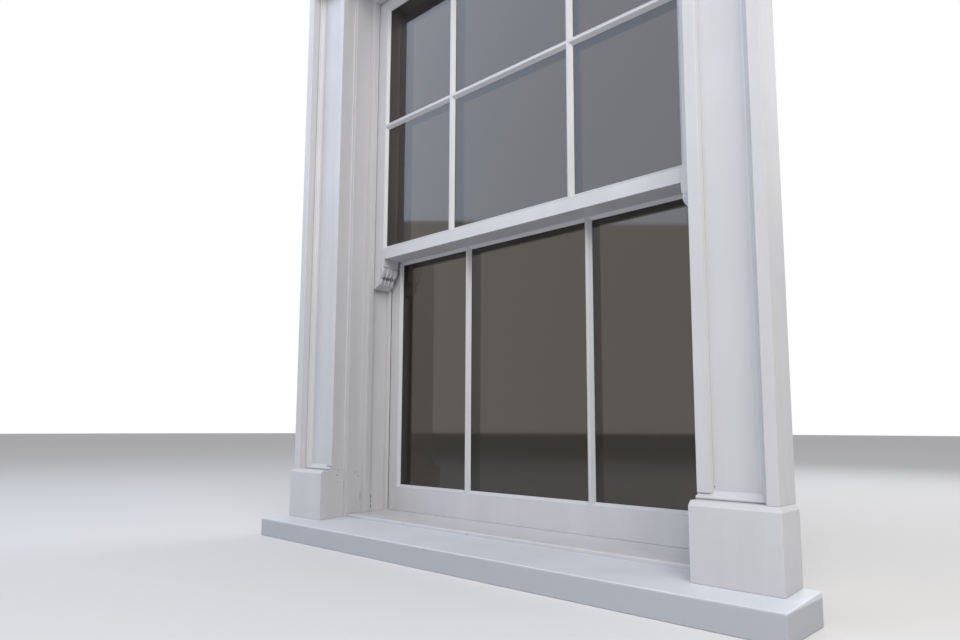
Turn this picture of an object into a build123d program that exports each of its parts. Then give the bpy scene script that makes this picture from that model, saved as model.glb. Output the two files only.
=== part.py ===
from build123d import *
import math
import os

os.makedirs("parts", exist_ok=True)

# A double-hung box sash window in its outside casing. X runs along the wall, +Y into the room, +Z up.
# The origin is under the middle of the whole window. Lengths are in millimetres.

# Outside sill, of stone or rendered masonry, and the timber sill of the frame behind it
SILL_HORN = 30.5
SILL_PROJECTION = 158.3
SILL_FRONT_HEIGHT = 50.5
SILL_SLOPE = 0.05
SILL_BACK = 4.5
SILL_ARRIS = 1.5
NOSING_RISE = 8.945
NOSING_SLOPE = 0.02
NOSING_ROUND = 3.0

# Casing: plinth block, architrave and the boards over the head
CASING_INNER = 589.5
CASING_OUTER = 751.0
PLINTH_PROUD = 82.0
PLINTH_OVERHANG = 6.0
PLINTH_TOP = 199.4
PLINTH_CHAMFER_HEIGHT = 8.9
MARGIN_PROUD = 73.0
MARGIN_WIDTH = 21.0
FIELD_PROUD = 37.0
STRIP_WIDTH = 30.0
STRIP_PROUD = 45.5
STRIP_SPLAY = 5.0
STRIP_QUIRK = 0.8
MOULDING_WIDTH = 21.6
MOULDING_GAP = 8.0
LEG_TOP = 1776.0
FRIEZE_HEIGHT = 150.0
FRIEZE_PROUD = 80.0
CAP_THICKNESS = 25.0
CAP_OVERHANG = 20.0

# Reveal and box frame
REVEAL_INNER = 577.3
REVEAL_BOARD = 62.7
REVEAL_DEPTH = 56.0
REVEAL_SOFFIT = 1764.0
REVEAL_TONGUE = 3.0
LINING_THICKNESS = 20.0
LINING_INNER = 558.5
LINING_HEAD = 1732.0
OPENING_HALF = 571.3
OPENING_HEIGHT = 1675.5
PULLEY_STILE = 25.0
BACK_LINING = 10.0
HEAD_THICKNESS = 30.0
PARTING_THICKNESS = 10.0
PARTING_PROUD = 13.0
PARTING_GROOVE = 6.0
STAFF_WIDTH = 15.0
STAFF_ROUND = 6.0
SLIP_THICKNESS = 6.0
SLIP_FOOT = 59.5
SLIP_CLEARANCE = 2.0
POCKET_FOOT = 80.0
POCKET_LENGTH = 400.0
POCKET_WIDTH = 48.0
SAW_KERF = 0.5

# Sashes
SASH_THICKNESS = 58.0
SASH_PLAY = 1.75
SASH_SIDE_PLAY = 1.8
SASH_SEAT = 0.3
STILE_WIDTH = 58.5
TOP_RAIL = 50.0
UPPER_MEETING_RAIL = 42.4
LOWER_MEETING_RAIL = 50.0
BOTTOM_RAIL = 79.7
LOWER_SASH_HEIGHT = 827.2
MEETING_GAP = 0.3
MEETING_SPLAY = 3.0
MEETING_REACH = 5.9
BAR_OFFSET = 213.0
BAR_WIDTH = 22.5
GLASS_THICKNESS = 4.0
GLASS_DEPTH = 9.0
GLASS_PLAY = 1.0
PUTTY_WIDTH = 8.0
PUTTY_EDGE = 0.4
BEVEL_WIDTH = 8.0
BEVEL_DEPTH = 18.0
TENON_LENGTH = 40.0
TENON_THICKNESS = 14.0
TENON_SHOULDER = 8.0
HORN_DROP = 90.0
FLUTE_WIDTH = 7.0
FLUTE_DEPTH = 2.2
FLUTE_PITCH = 14.5

# Cords, pulleys and weights
CORD_DIAMETER = 6.0
CORD_EDGE = 4.3
CORD_CLEARANCE = 0.3
KNOT_RADIUS = 5.0
KNOT_SET = 4.5
UPPER_KNOT_DROP = 300.0
LOWER_KNOT_DROP = 300.0
CORD_GROOVE_WIDTH = 12.0
CORD_GROOVE_DEPTH = 10.0
WHEEL_PITCH_RADIUS = 28.0
WHEEL_RIM = 2.5
WHEEL_THICKNESS = 10.0
WHEEL_DROP = 96.0
AXLE_DIAMETER = 8.0
AXLE_CLEARANCE = 0.05
CHEEK_CLEARANCE = 0.6
CHEEK_THICKNESS = 2.4
CHEEK_HALF = 24.0
CHEEK_DEPTH = 32.0
CASE_CLEARANCE = 0.2
FACEPLATE_HEIGHT = 130.0
FACEPLATE_WIDTH = 28.0
FACEPLATE_THICKNESS = 3.0
FACEPLATE_SLOT = 50.0
FACEPLATE_SCREWS = 110.0
WEIGHT_DIAMETER = 45.0
WEIGHT_CLEARANCE = 4.5
UPPER_WEIGHT_LENGTH = 785.0
LOWER_WEIGHT_LENGTH = 700.0
UPPER_WEIGHT_FOOT = 30.0
LOWER_WEIGHT_HEAD = 50.0
WEIGHT_SHOULDER = 20.0
WEIGHT_NECK_RADIUS = 12.0
WEIGHT_BORE_DEPTH = 24.0
WEIGHT_WINDOW_WIDTH = 13.0
WEIGHT_WINDOW_HEIGHT = 18.0

# Fastener, lifts and screws
PLATE_THICKNESS = 3.0
FASTENER_LENGTH = 64.0
FASTENER_WIDTH = 24.0
PIVOT_SET = 20.0
PIVOT_DIAMETER = 8.0
PIVOT_CLEARANCE = 0.05
LEVER_THICKNESS = 5.0
LEVER_SEAT = 0.3
HUB_DIAMETER = 18.0
PIVOT_HEAD_DIAMETER = 13.0
PIVOT_HEAD_HEIGHT = 3.0
TONGUE_CLEARANCE = 1.6
TONGUE_WIDTH = 12.0
HANDLE_REACH = 30.0
HANDLE_WIDTH = 9.0
KNOB_DIAMETER = 14.0
KNOB_HEIGHT = 9.0
KEEP_LENGTH = 34.0
KEEP_WALL = 5.0
KEEP_DEPTH = 36.0
KEEP_HOOD = 24.0
KEEP_CLEARANCE = 1.5
LIFT_OFFSET = 250.0
LIFT_HEIGHT = 52.0
LIFT_WIDTH = 36.0
LIFT_REACH = 28.0
LIFT_LIP = 16.0
LIFT_ABOVE_RAIL_FOOT = 18.0
SCREW_DIAMETER = 4.0
SCREW_HEAD_DIAMETER = 8.0
SCREW_HEAD_HEIGHT = 2.2
SCREW_LENGTH = 18.0
SCREW_CLEARANCE = 0.1

# Depths, from the front of the sill into the room
DEPTH = (
    SILL_PROJECTION + REVEAL_DEPTH + LINING_THICKNESS + 3 * SASH_PLAY
    + 2 * SASH_THICKNESS + PARTING_THICKNESS + LIFT_REACH
)
Y_FRONT = -DEPTH / 2
Y_WALL = Y_FRONT + SILL_PROJECTION
Y_FRAME_SILL = Y_WALL + SILL_BACK
Y_LINING = Y_WALL + REVEAL_DEPTH
Y_TRACK = Y_LINING + LINING_THICKNESS
Y_UPPER = Y_TRACK + SASH_PLAY
Y_PARTING = Y_UPPER + SASH_THICKNESS + SASH_PLAY
Y_LOWER = Y_PARTING + PARTING_THICKNESS + SASH_PLAY
Y_STAFF = Y_LOWER + SASH_THICKNESS + SASH_PLAY
Y_ROOM = Y_STAFF + LINING_THICKNESS
Y_UPPER_MIDDLE = Y_UPPER + SASH_THICKNESS / 2
Y_LOWER_MIDDLE = Y_LOWER + SASH_THICKNESS / 2

# Heights, from the underside of the sill
Z_NOSING = SILL_FRONT_HEIGHT + SILL_SLOPE * (Y_FRAME_SILL - Y_FRONT) + NOSING_RISE
Z_SEAT = Z_NOSING + NOSING_SLOPE * (Y_PARTING - Y_FRAME_SILL)
Z_HEAD = Z_SEAT + OPENING_HEIGHT
Z_FRAME_TOP = Z_HEAD + HEAD_THICKNESS
Z_LOWER_FOOT = Z_SEAT + SASH_SEAT
Z_MEETING = Z_LOWER_FOOT + LOWER_SASH_HEIGHT
Z_UPPER_TOP = Z_HEAD - SASH_SEAT
Z_UPPER_RAIL_FOOT = Z_MEETING - UPPER_MEETING_RAIL
Z_WHEEL = Z_HEAD - WHEEL_DROP
Z_UPPER_KNOT = Z_UPPER_TOP - UPPER_KNOT_DROP
Z_LOWER_KNOT = Z_MEETING - LOWER_KNOT_DROP
Z_UPPER_WEIGHT = Z_SEAT + UPPER_WEIGHT_FOOT + UPPER_WEIGHT_LENGTH
Z_LOWER_WEIGHT = Z_WHEEL - LOWER_WEIGHT_HEAD

# Widths, from the middle of the window
STILE_OUTER = OPENING_HALF - SASH_SIDE_PLAY
SIGHT = STILE_OUTER - STILE_WIDTH
REBATE_DEPTH = GLASS_DEPTH + GLASS_THICKNESS
BAR_TONGUE = BAR_WIDTH - 2 * PUTTY_WIDTH
CORD_X = OPENING_HALF - CORD_EDGE
WHEEL_X = CORD_X + WHEEL_PITCH_RADIUS
WEIGHT_X = WHEEL_X + WHEEL_PITCH_RADIUS
FRAME_HALF = WEIGHT_X + WEIGHT_DIAMETER / 2 + WEIGHT_CLEARANCE + BACK_LINING
MARGIN_INNER = CASING_OUTER - MARGIN_WIDTH
FIELD_OUTER = MARGIN_INNER - MOULDING_GAP - MOULDING_WIDTH
FIELD_INNER = CASING_INNER + STRIP_WIDTH
FIELD_FOOT = PLINTH_TOP + MOULDING_WIDTH
SILL_HALF = CASING_OUTER + PLINTH_OVERHANG + SILL_HORN


def block(x0, x1, y0, y1, z0, z1):
    """A rectangular block between two corners."""
    middle = Pos((x0 + x1) / 2, (y0 + y1) / 2, (z0 + z1) / 2)
    return middle * Box(x1 - x0, y1 - y0, z1 - z0)


def rod(radius, start, end):
    """A round rod between two points."""
    axis = Vector(*end) - Vector(*start)
    return extrude(Plane(Vector(*start), z_dir=axis) * Circle(radius), amount=axis.length)


def across(points, x0, x1):
    """A (y, z) outline carried along X."""
    face = Plane.YZ * make_face(Polyline(*points, close=True))
    return Pos(x0, 0, 0) * extrude(face, amount=x1 - x0)


def inward(points, y0, y1):
    """An (x, z) outline carried along Y."""
    face = Plane.XZ * make_face(Polyline(*points, close=True))
    return Pos(0, y1, 0) * extrude(face, amount=y1 - y0)


def upright(points, z0, z1):
    """An (x, y) outline carried along Z."""
    return Pos(0, 0, z0) * extrude(make_face(Polyline(*points, close=True)), amount=z1 - z0)


def other_side(piece):
    """The same piece on the left of the window."""
    return mirror(piece, about=Plane.YZ)


def save(name, *pieces):
    """Writes one sub-part, of one or several solids."""
    solids = [solid for piece in pieces for solid in piece.solids()]
    export_step(solids[0] if len(solids) == 1 else Compound(children=solids), f"parts/{name}.step")


def sill_top(y):
    """Height of the outside sill's weathered top."""
    return SILL_FRONT_HEIGHT + SILL_SLOPE * (y - Y_FRONT)


def frame_sill_top(y):
    """Height of the timber sill, sloped outside the lower sash and level under it."""
    return Z_NOSING + NOSING_SLOPE * (min(y, Y_PARTING) - Y_FRAME_SILL)


def under_sill(y0, y1, top):
    """(y, z) outline of a board that stands on the timber sill."""
    foot = [(y0, frame_sill_top(y0))]
    if y0 < Y_PARTING < y1:
        foot.append((Y_PARTING, Z_SEAT))
    foot.append((y1, frame_sill_top(y1)))
    return foot + [(y1, top), (y0, top)]


# Sills
def outer_sill():
    """Long sill, notched at both ends where the wall stands on it."""
    front = [
        (Y_FRONT, 0),
        (Y_FRONT, SILL_FRONT_HEIGHT - SILL_ARRIS),
        (Y_FRONT + SILL_ARRIS, sill_top(Y_FRONT + SILL_ARRIS)),
        (Y_FRAME_SILL, sill_top(Y_FRAME_SILL)),
        (Y_FRAME_SILL, 0),
    ]
    sill = across(front, -SILL_HALF, SILL_HALF)
    for side in (-1, 1):
        x0, x1 = sorted((side * FRAME_HALF, side * (SILL_HALF + 1)))
        sill -= block(x0, x1, Y_WALL, Y_FRAME_SILL + 1, -1, Z_SEAT)
    return sill


def frame_sill():
    """Timber sill with a rounded nosing, level under the lower sash."""
    outline = [
        (Y_FRAME_SILL, 0),
        (Y_FRAME_SILL, Z_NOSING),
        (Y_PARTING, Z_SEAT),
        (Y_ROOM, Z_SEAT),
        (Y_ROOM, 0),
    ]
    sill = across(outline, -FRAME_HALF, FRAME_HALF)
    nosing = sill.edges().filter_by(Axis.X).group_by(Axis.Y)[0].sort_by(Axis.Z)[-1]
    return fillet(nosing, NOSING_ROUND)


# Casing, made for the right of the window
def plinth():
    """Block under an architrave, weathered along its front and outer top edges."""
    y_front = Y_WALL - PLINTH_PROUD
    outline = [
        (y_front, sill_top(y_front)),
        (y_front, PLINTH_TOP - PLINTH_CHAMFER_HEIGHT),
        (Y_WALL - MARGIN_PROUD, PLINTH_TOP),
        (Y_WALL, PLINTH_TOP),
        (Y_WALL, sill_top(Y_WALL)),
    ]
    x_outer = CASING_OUTER + PLINTH_OVERHANG
    piece = across(outline, CASING_INNER, x_outer)
    corner = [
        (CASING_OUTER, PLINTH_TOP),
        (x_outer, PLINTH_TOP - PLINTH_CHAMFER_HEIGHT),
        (x_outer + 1, PLINTH_TOP - PLINTH_CHAMFER_HEIGHT),
        (x_outer + 1, PLINTH_TOP + 1),
        (CASING_OUTER, PLINTH_TOP + 1),
    ]
    return piece - inward(corner, y_front - 1, Y_WALL + 1)


def moulding_outline():
    """(distance from the field, height over the field) of the planted moulding, without its back."""
    return [
        Line((0, 0), (0, 1.5)),
        Line((0, 1.5), (2, 1.5)),
        ThreePointArc((2, 1.5), (6.5, 1.6), (10, 3.6)),
        Line((10, 3.6), (10.6, 5)),
        ThreePointArc((10.6, 5), (13.4, 7.6), (15, 11)),
        ThreePointArc((15, 11), (17.8, 14.4), (21, 12.4)),
        Line((21, 12.4), (MOULDING_WIDTH, 10)),
    ]


def strip_edge():
    """(x, y) points of the raised inner strip's front and its splay down to the field."""
    return [
        (CASING_INNER, Y_WALL - STRIP_PROUD),
        (FIELD_INNER - STRIP_SPLAY, Y_WALL - STRIP_PROUD),
        (FIELD_INNER, Y_WALL - FIELD_PROUD - STRIP_QUIRK),
        (FIELD_INNER, Y_WALL - FIELD_PROUD),
    ]


def moulding_return():
    """Foot of the moulding, running across over the plinth block to the inner edge."""
    y_field = Y_WALL - FIELD_PROUD
    last = [Line((MOULDING_WIDTH, 10), (MOULDING_WIDTH, 0)), Line((MOULDING_WIDTH, 0), (0, 0))]
    profile = Plane((0, 0, 0), x_dir=(0, 0, -1), z_dir=(-1, 0, 0)) * make_face(moulding_outline() + last)
    x_end = FIELD_OUTER + MOULDING_WIDTH
    run = Pos(x_end, y_field, FIELD_FOOT) * extrude(profile, amount=x_end - CASING_INNER)
    y_crest = Y_WALL - MARGIN_PROUD
    mitre = [
        (FIELD_OUTER, FIELD_FOOT),
        (x_end, PLINTH_TOP),
        (x_end, FIELD_FOOT),
    ]
    run -= inward(mitre, y_crest, Y_WALL)
    return run - upright(strip_edge() + [(CASING_INNER, y_field)], FIELD_FOOT - 10, FIELD_FOOT)


def moulding_leg():
    """Upright of the moulding with the broad outer margin, mitred to its return at the foot."""
    y_field = Y_WALL - FIELD_PROUD
    rise = MARGIN_PROUD - FIELD_PROUD
    width = CASING_OUTER - FIELD_OUTER
    shoulder = MOULDING_WIDTH + MOULDING_GAP
    rest = [
        Line((MOULDING_WIDTH, 10), (MOULDING_WIDTH + 1.4, 10)),
        Line((MOULDING_WIDTH + 1.4, 10), (shoulder - 3, rise - 7)),
        ThreePointArc((shoulder - 3, rise - 7), (shoulder - 2, rise - 1.6), (shoulder, rise)),
        Line((shoulder, rise), (width, rise)),
        Line((width, rise), (width, 0)),
        Line((width, 0), (0, 0)),
    ]
    profile = Plane((0, 0, 0), x_dir=(1, 0, 0), z_dir=(0, 0, 1)) * mirror(
        make_face(moulding_outline() + rest), about=Plane.XZ
    )
    leg = Pos(FIELD_OUTER, y_field, PLINTH_TOP) * extrude(profile, amount=LEG_TOP - PLINTH_TOP)
    mitre = [
        (FIELD_OUTER, PLINTH_TOP),
        (FIELD_OUTER, FIELD_FOOT),
        (FIELD_OUTER + MOULDING_WIDTH, PLINTH_TOP),
    ]
    return leg - inward(mitre, Y_WALL - MARGIN_PROUD, Y_WALL)


def architrave_board():
    """Board behind the moulding, with the raised inner strip and a rebate for the reveal's edge."""
    x_reveal = REVEAL_INNER + REVEAL_BOARD
    outline = [
        (x_reveal, Y_WALL),
        (x_reveal, Y_WALL - REVEAL_TONGUE),
        (CASING_INNER, Y_WALL - REVEAL_TONGUE),
        *strip_edge(),
        (CASING_OUTER, Y_WALL - FIELD_PROUD),
        (CASING_OUTER, Y_WALL),
    ]
    board = upright(outline, PLINTH_TOP, LEG_TOP)
    y0, y1 = Y_WALL - STRIP_PROUD - 1, Y_WALL - FIELD_PROUD
    return board - block(CASING_INNER - 1, FIELD_INNER + 1, y0, y1, PLINTH_TOP - 1, FIELD_FOOT - 10)


def frieze_board():
    """Plain board over the head of the window."""
    half = CASING_OUTER + PLINTH_OVERHANG
    return block(-half, half, Y_WALL - FRIEZE_PROUD, Y_WALL, LEG_TOP, LEG_TOP + FRIEZE_HEIGHT)


def cap_board():
    """Thin weathering board on the frieze."""
    half = CASING_OUTER + PLINTH_OVERHANG + CAP_OVERHANG
    y_front = Y_WALL - FRIEZE_PROUD - CAP_OVERHANG
    foot = LEG_TOP + FRIEZE_HEIGHT
    outline = [
        (y_front, foot),
        (y_front, foot + CAP_THICKNESS * 0.7),
        (Y_WALL, foot + CAP_THICKNESS),
        (Y_WALL, foot),
    ]
    return across(outline, -half, half)


# Reveal
def reveal_side():
    """Board that lines the wall opening in front of the box frame, let into the architrave's back."""
    x_outer = REVEAL_INNER + REVEAL_BOARD
    outline = [
        (Y_WALL, sill_top(Y_WALL)),
        (Y_FRAME_SILL, sill_top(Y_FRAME_SILL)),
        (Y_FRAME_SILL, Z_NOSING),
        (Y_LINING, frame_sill_top(Y_LINING)),
        (Y_LINING, REVEAL_SOFFIT),
        (Y_WALL, REVEAL_SOFFIT),
    ]
    board = across(outline, REVEAL_INNER, x_outer)
    return board + block(CASING_INNER, x_outer, Y_WALL - REVEAL_TONGUE, Y_WALL, PLINTH_TOP, LEG_TOP)


def reveal_head():
    """Board over the wall opening in front of the box frame."""
    half = REVEAL_INNER + REVEAL_BOARD
    return block(-half, half, Y_WALL, Y_LINING, REVEAL_SOFFIT, REVEAL_SOFFIT + REVEAL_BOARD)


# Box frame, made for the right of the window
def outer_lining():
    """Outer face of the weight box, lapping over the edge of the upper sash."""
    return across(under_sill(Y_LINING, Y_TRACK, Z_FRAME_TOP), LINING_INNER, FRAME_HALF)


def outer_lining_head():
    """Outer lining between the two side linings, over the upper sash."""
    return block(-LINING_INNER, LINING_INNER, Y_LINING, Y_TRACK, LINING_HEAD, Z_FRAME_TOP)


def inner_lining():
    """Room face of the weight box, flush with the pulley stile."""
    return across(under_sill(Y_STAFF, Y_ROOM, Z_FRAME_TOP), OPENING_HALF, FRAME_HALF)


def inner_lining_head():
    """Room face of the frame's head."""
    return block(-OPENING_HALF, OPENING_HALF, Y_STAFF, Y_ROOM, Z_HEAD, Z_FRAME_TOP)


def back_lining():
    """Thin board that closes the weight box towards the wall."""
    return across(under_sill(Y_TRACK, Y_STAFF, Z_HEAD), FRAME_HALF - BACK_LINING, FRAME_HALF)


def frame_head():
    """Head of the box frame, with the groove for the parting bead."""
    head = block(-FRAME_HALF, FRAME_HALF, Y_TRACK, Y_STAFF, Z_HEAD, Z_FRAME_TOP)
    y0, y1 = Y_PARTING, Y_PARTING + PARTING_THICKNESS
    half = OPENING_HALF + PARTING_GROOVE
    return head - block(-half, half, y0, y1, Z_HEAD - 1, Z_HEAD + PARTING_GROOVE)


def pocket_spans():
    """Depth and height ranges of the pocket cut in a pulley stile."""
    y1 = Y_STAFF - SASH_PLAY
    return y1 - POCKET_WIDTH, y1, Z_SEAT + POCKET_FOOT, Z_SEAT + POCKET_FOOT + POCKET_LENGTH


def case_body_half():
    """Half thickness of a pulley case over its cheeks."""
    return WHEEL_THICKNESS / 2 + CHEEK_CLEARANCE + CHEEK_THICKNESS


def pulley_stile():
    """Inner face of the weight box, that the sashes run against."""
    x0, x1 = OPENING_HALF, OPENING_HALF + PULLEY_STILE
    stile = across(under_sill(Y_TRACK, Y_STAFF, Z_HEAD), x0, x1)
    groove = block(
        x0 - 1, x0 + PARTING_GROOVE, Y_PARTING, Y_PARTING + PARTING_THICKNESS, 0, Z_HEAD + 1
    )
    stile -= groove
    wheel_radius = WHEEL_PITCH_RADIUS + WHEEL_RIM
    for y in (Y_UPPER_MIDDLE, Y_LOWER_MIDDLE):
        half = case_body_half() + CASE_CLEARANCE
        reach = wheel_radius + 1.5
        stile -= block(x0 - 1, x1 + 1, y - half, y + half, Z_WHEEL - reach, Z_WHEEL + reach)
        half = FACEPLATE_WIDTH / 2 + CASE_CLEARANCE
        reach = FACEPLATE_HEIGHT / 2 + CASE_CLEARANCE
        depth = FACEPLATE_THICKNESS
        stile -= block(x0 - 1, x0 + depth, y - half, y + half, Z_WHEEL - reach, Z_WHEEL + reach)
        for z in (Z_WHEEL - FACEPLATE_SCREWS / 2, Z_WHEEL + FACEPLATE_SCREWS / 2):
            stile -= pilot_hole((x0, y, z), (1, 0, 0))
    y0, y1, z0, z1 = pocket_spans()
    return stile - block(x0 - 1, x1 + 1, y0, y1, z0, z1)


def pocket_piece():
    """Loose piece that gives a way to the weights."""
    y0, y1, z0, z1 = pocket_spans()
    return block(OPENING_HALF, OPENING_HALF + PULLEY_STILE, y0, y1, z0, z1 - SAW_KERF)


def parting_slip():
    """Thin board that hangs from the head between the two weights of one side."""
    middle = (Y_UPPER_MIDDLE + Y_LOWER_MIDDLE) / 2
    y0, y1 = middle - SLIP_THICKNESS / 2, middle + SLIP_THICKNESS / 2
    x0 = OPENING_HALF + PULLEY_STILE + SLIP_CLEARANCE
    x1 = FRAME_HALF - BACK_LINING - SLIP_CLEARANCE
    return block(x0, x1, y0, y1, Z_SEAT + SLIP_FOOT, Z_HEAD)


def parting_bead():
    """Bead in the pulley stile that keeps the sashes apart."""
    outline = under_sill(Y_PARTING, Y_PARTING + PARTING_THICKNESS, Z_HEAD)
    return across(outline, OPENING_HALF - PARTING_PROUD, OPENING_HALF + PARTING_GROOVE)


def parting_bead_head():
    """Bead in the frame's head between the sashes."""
    y0, y1 = Y_PARTING, Y_PARTING + PARTING_THICKNESS
    low = block(
        PARTING_PROUD - OPENING_HALF, OPENING_HALF - PARTING_PROUD, y0, y1, Z_HEAD - PARTING_PROUD, Z_HEAD
    )
    half = OPENING_HALF + PARTING_GROOVE
    return low + block(-half, half, y0, y1, Z_HEAD, Z_HEAD + PARTING_GROOVE)


def staff_beads():
    """Four beads on the room side that hold the lower sash in."""
    inner = OPENING_HALF - STAFF_WIDTH
    side = block(inner, OPENING_HALF, Y_STAFF, Y_ROOM, Z_SEAT, Z_HEAD)
    side = fillet(side.edges().filter_by(Axis.Z).sort_by(Axis.Y)[-2:].sort_by(Axis.X)[0], STAFF_ROUND)
    head = block(-inner, inner, Y_STAFF, Y_ROOM, Z_HEAD - STAFF_WIDTH, Z_HEAD)
    head = fillet(head.edges().filter_by(Axis.X).sort_by(Axis.Y)[-2:].sort_by(Axis.Z)[0], STAFF_ROUND)
    foot = block(-inner, inner, Y_STAFF, Y_ROOM, Z_SEAT, Z_SEAT + STAFF_WIDTH)
    foot = fillet(foot.edges().filter_by(Axis.X).sort_by(Axis.Y)[-2:].sort_by(Axis.Z)[-1], STAFF_ROUND)
    return side, other_side(side), head, foot


# Screws
def screw(point, direction):
    """Countersunk screw whose head is level with the point; direction runs into the wood."""
    plane = Plane(Vector(*point), z_dir=Vector(*direction))
    shank = extrude(plane * Circle(SCREW_DIAMETER / 2), amount=SCREW_LENGTH)
    rim = plane * Circle(SCREW_HEAD_DIAMETER / 2)
    neck = plane.offset(SCREW_HEAD_HEIGHT) * Circle(SCREW_DIAMETER / 2)
    body = shank + loft([rim, neck])
    slot = plane * Pos(0, 0, 0.4) * Box(SCREW_HEAD_DIAMETER * 1.2, 0.9, 1.0)
    return body - slot


def pilot_hole(point, direction):
    """Hole in the wood for such a screw."""
    plane = Plane(Vector(*point), z_dir=Vector(*direction))
    radius = SCREW_DIAMETER / 2 + SCREW_CLEARANCE
    return extrude(plane.offset(-1) * Circle(radius), amount=SCREW_LENGTH + 1 + SCREW_CLEARANCE)


def countersink(point, direction):
    """Hole in a plate for such a screw's head."""
    plane = Plane(Vector(*point), z_dir=Vector(*direction))
    rim = plane * Circle(SCREW_HEAD_DIAMETER / 2 + SCREW_CLEARANCE)
    neck = plane.offset(SCREW_HEAD_HEIGHT) * Circle(SCREW_DIAMETER / 2 + SCREW_CLEARANCE)
    return loft([rim, neck]) + pilot_hole(point, direction)


# Pulleys, cords and weights, made for the right of the window
def pulley_case(y):
    """Faceplate, two cheeks and the axle that the wheel turns on."""
    x0 = OPENING_HALF
    x1 = x0 + FACEPLATE_THICKNESS
    half = FACEPLATE_WIDTH / 2
    reach = FACEPLATE_HEIGHT / 2
    case = block(x0, x1, y - half, y + half, Z_WHEEL - reach, Z_WHEEL + reach)
    inner = WHEEL_THICKNESS / 2 + CHEEK_CLEARANCE
    reach = FACEPLATE_SLOT / 2
    case -= block(x0 - 1, x1 + 1, y - inner, y + inner, Z_WHEEL - reach, Z_WHEEL + reach)
    outer = case_body_half()
    for side in (-1, 1):
        y0, y1 = sorted((y + side * inner, y + side * outer))
        case += block(x1, x0 + CHEEK_DEPTH, y0, y1, Z_WHEEL - CHEEK_HALF, Z_WHEEL + CHEEK_HALF)
    case += rod(AXLE_DIAMETER / 2, (WHEEL_X, y - outer, Z_WHEEL), (WHEEL_X, y + outer, Z_WHEEL))
    for z in (Z_WHEEL - FACEPLATE_SCREWS / 2, Z_WHEEL + FACEPLATE_SCREWS / 2):
        case -= countersink((x0, y, z), (1, 0, 0))
    return case


def pulley_screws(y):
    """The two screws of one faceplate."""
    heights = (Z_WHEEL - FACEPLATE_SCREWS / 2, Z_WHEEL + FACEPLATE_SCREWS / 2)
    return [screw((OPENING_HALF, y, z), (1, 0, 0)) for z in heights]


def pulley_wheel(y):
    """Grooved wheel with a bore that runs on the axle."""
    outer = WHEEL_PITCH_RADIUS + WHEEL_RIM
    half = WHEEL_THICKNESS / 2
    wheel = rod(outer, (WHEEL_X, y - half, Z_WHEEL), (WHEEL_X, y + half, Z_WHEEL))
    groove = CORD_DIAMETER / 2 + CORD_CLEARANCE
    wheel -= Pos(WHEEL_X, y, Z_WHEEL) * Rot(90, 0, 0) * Torus(WHEEL_PITCH_RADIUS, groove)
    near, far = (WHEEL_X, y - groove, Z_WHEEL), (WHEEL_X, y + groove, Z_WHEEL)
    wheel -= rod(outer + 1, near, far) - rod(WHEEL_PITCH_RADIUS, near, far)
    bore = AXLE_DIAMETER / 2 + AXLE_CLEARANCE
    wheel -= rod(bore, (WHEEL_X, y - WHEEL_THICKNESS, Z_WHEEL), (WHEEL_X, y + WHEEL_THICKNESS, Z_WHEEL))
    for k in range(5):
        angle = math.radians(72 * k)
        x = WHEEL_X + 14 * math.cos(angle)
        z = Z_WHEEL + 14 * math.sin(angle)
        wheel -= rod(4, (x, y - WHEEL_THICKNESS, z), (x, y + WHEEL_THICKNESS, z))
    return wheel


def weight_knot(z_top):
    """Height of the cord's knot in a weight whose top is at z_top."""
    return z_top - WEIGHT_BORE_DEPTH - KNOT_RADIUS


def cord(name, y, z_sash, z_top):
    """Sash cord from its knot in the stile over the wheel to its knot in the weight."""
    radius = CORD_DIAMETER / 2
    z_knot = weight_knot(z_top)
    over = (WHEEL_X, y, Z_WHEEL + WHEEL_PITCH_RADIUS)
    path = Wire([
        Edge.make_line((CORD_X, y, z_sash), (CORD_X, y, Z_WHEEL)),
        Edge.make_three_point_arc((CORD_X, y, Z_WHEEL), over, (WEIGHT_X, y, Z_WHEEL)),
        Edge.make_line((WEIGHT_X, y, Z_WHEEL), (WEIGHT_X, y, z_knot)),
    ])
    section = Plane((CORD_X, y, z_sash), z_dir=(0, 0, 1)) * Circle(radius)
    tube = sweep(section, path=path)
    print(name, "arc radius", WHEEL_PITCH_RADIUS, "length", round(path.length, 1))
    print(name, "volume over section times length", tube.volume / (math.pi * radius**2 * path.length))
    knot = Rot(90, 0, 0) * Rot(0, 0, 180) * Sphere(KNOT_RADIUS)
    return tube + Pos(CORD_X - KNOT_SET, y, z_sash) * knot + Pos(WEIGHT_X, y, z_knot) * knot


def weight(y, z_top, length):
    """Cast iron sash weight with a bore and a window for the cord's knot."""
    radius = WEIGHT_DIAMETER / 2
    z_shoulder = z_top - WEIGHT_SHOULDER
    body = rod(radius, (WEIGHT_X, y, z_top - length), (WEIGHT_X, y, z_shoulder))
    top = Plane((WEIGHT_X, y, z_shoulder), z_dir=(0, 0, 1))
    body += loft([top * Circle(radius), top.offset(WEIGHT_SHOULDER) * Circle(WEIGHT_NECK_RADIUS)])
    bore = CORD_DIAMETER / 2 + CORD_CLEARANCE
    z_window = weight_knot(z_top) + KNOT_RADIUS + CORD_CLEARANCE
    body -= rod(bore, (WEIGHT_X, y, z_window - 1), (WEIGHT_X, y, z_top + 1))
    half = WEIGHT_WINDOW_WIDTH / 2
    z0 = z_window - WEIGHT_WINDOW_HEIGHT
    return body - block(WEIGHT_X - half, WEIGHT_X + half, y - radius - 1, y + radius + 1, z0, z_window)


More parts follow.
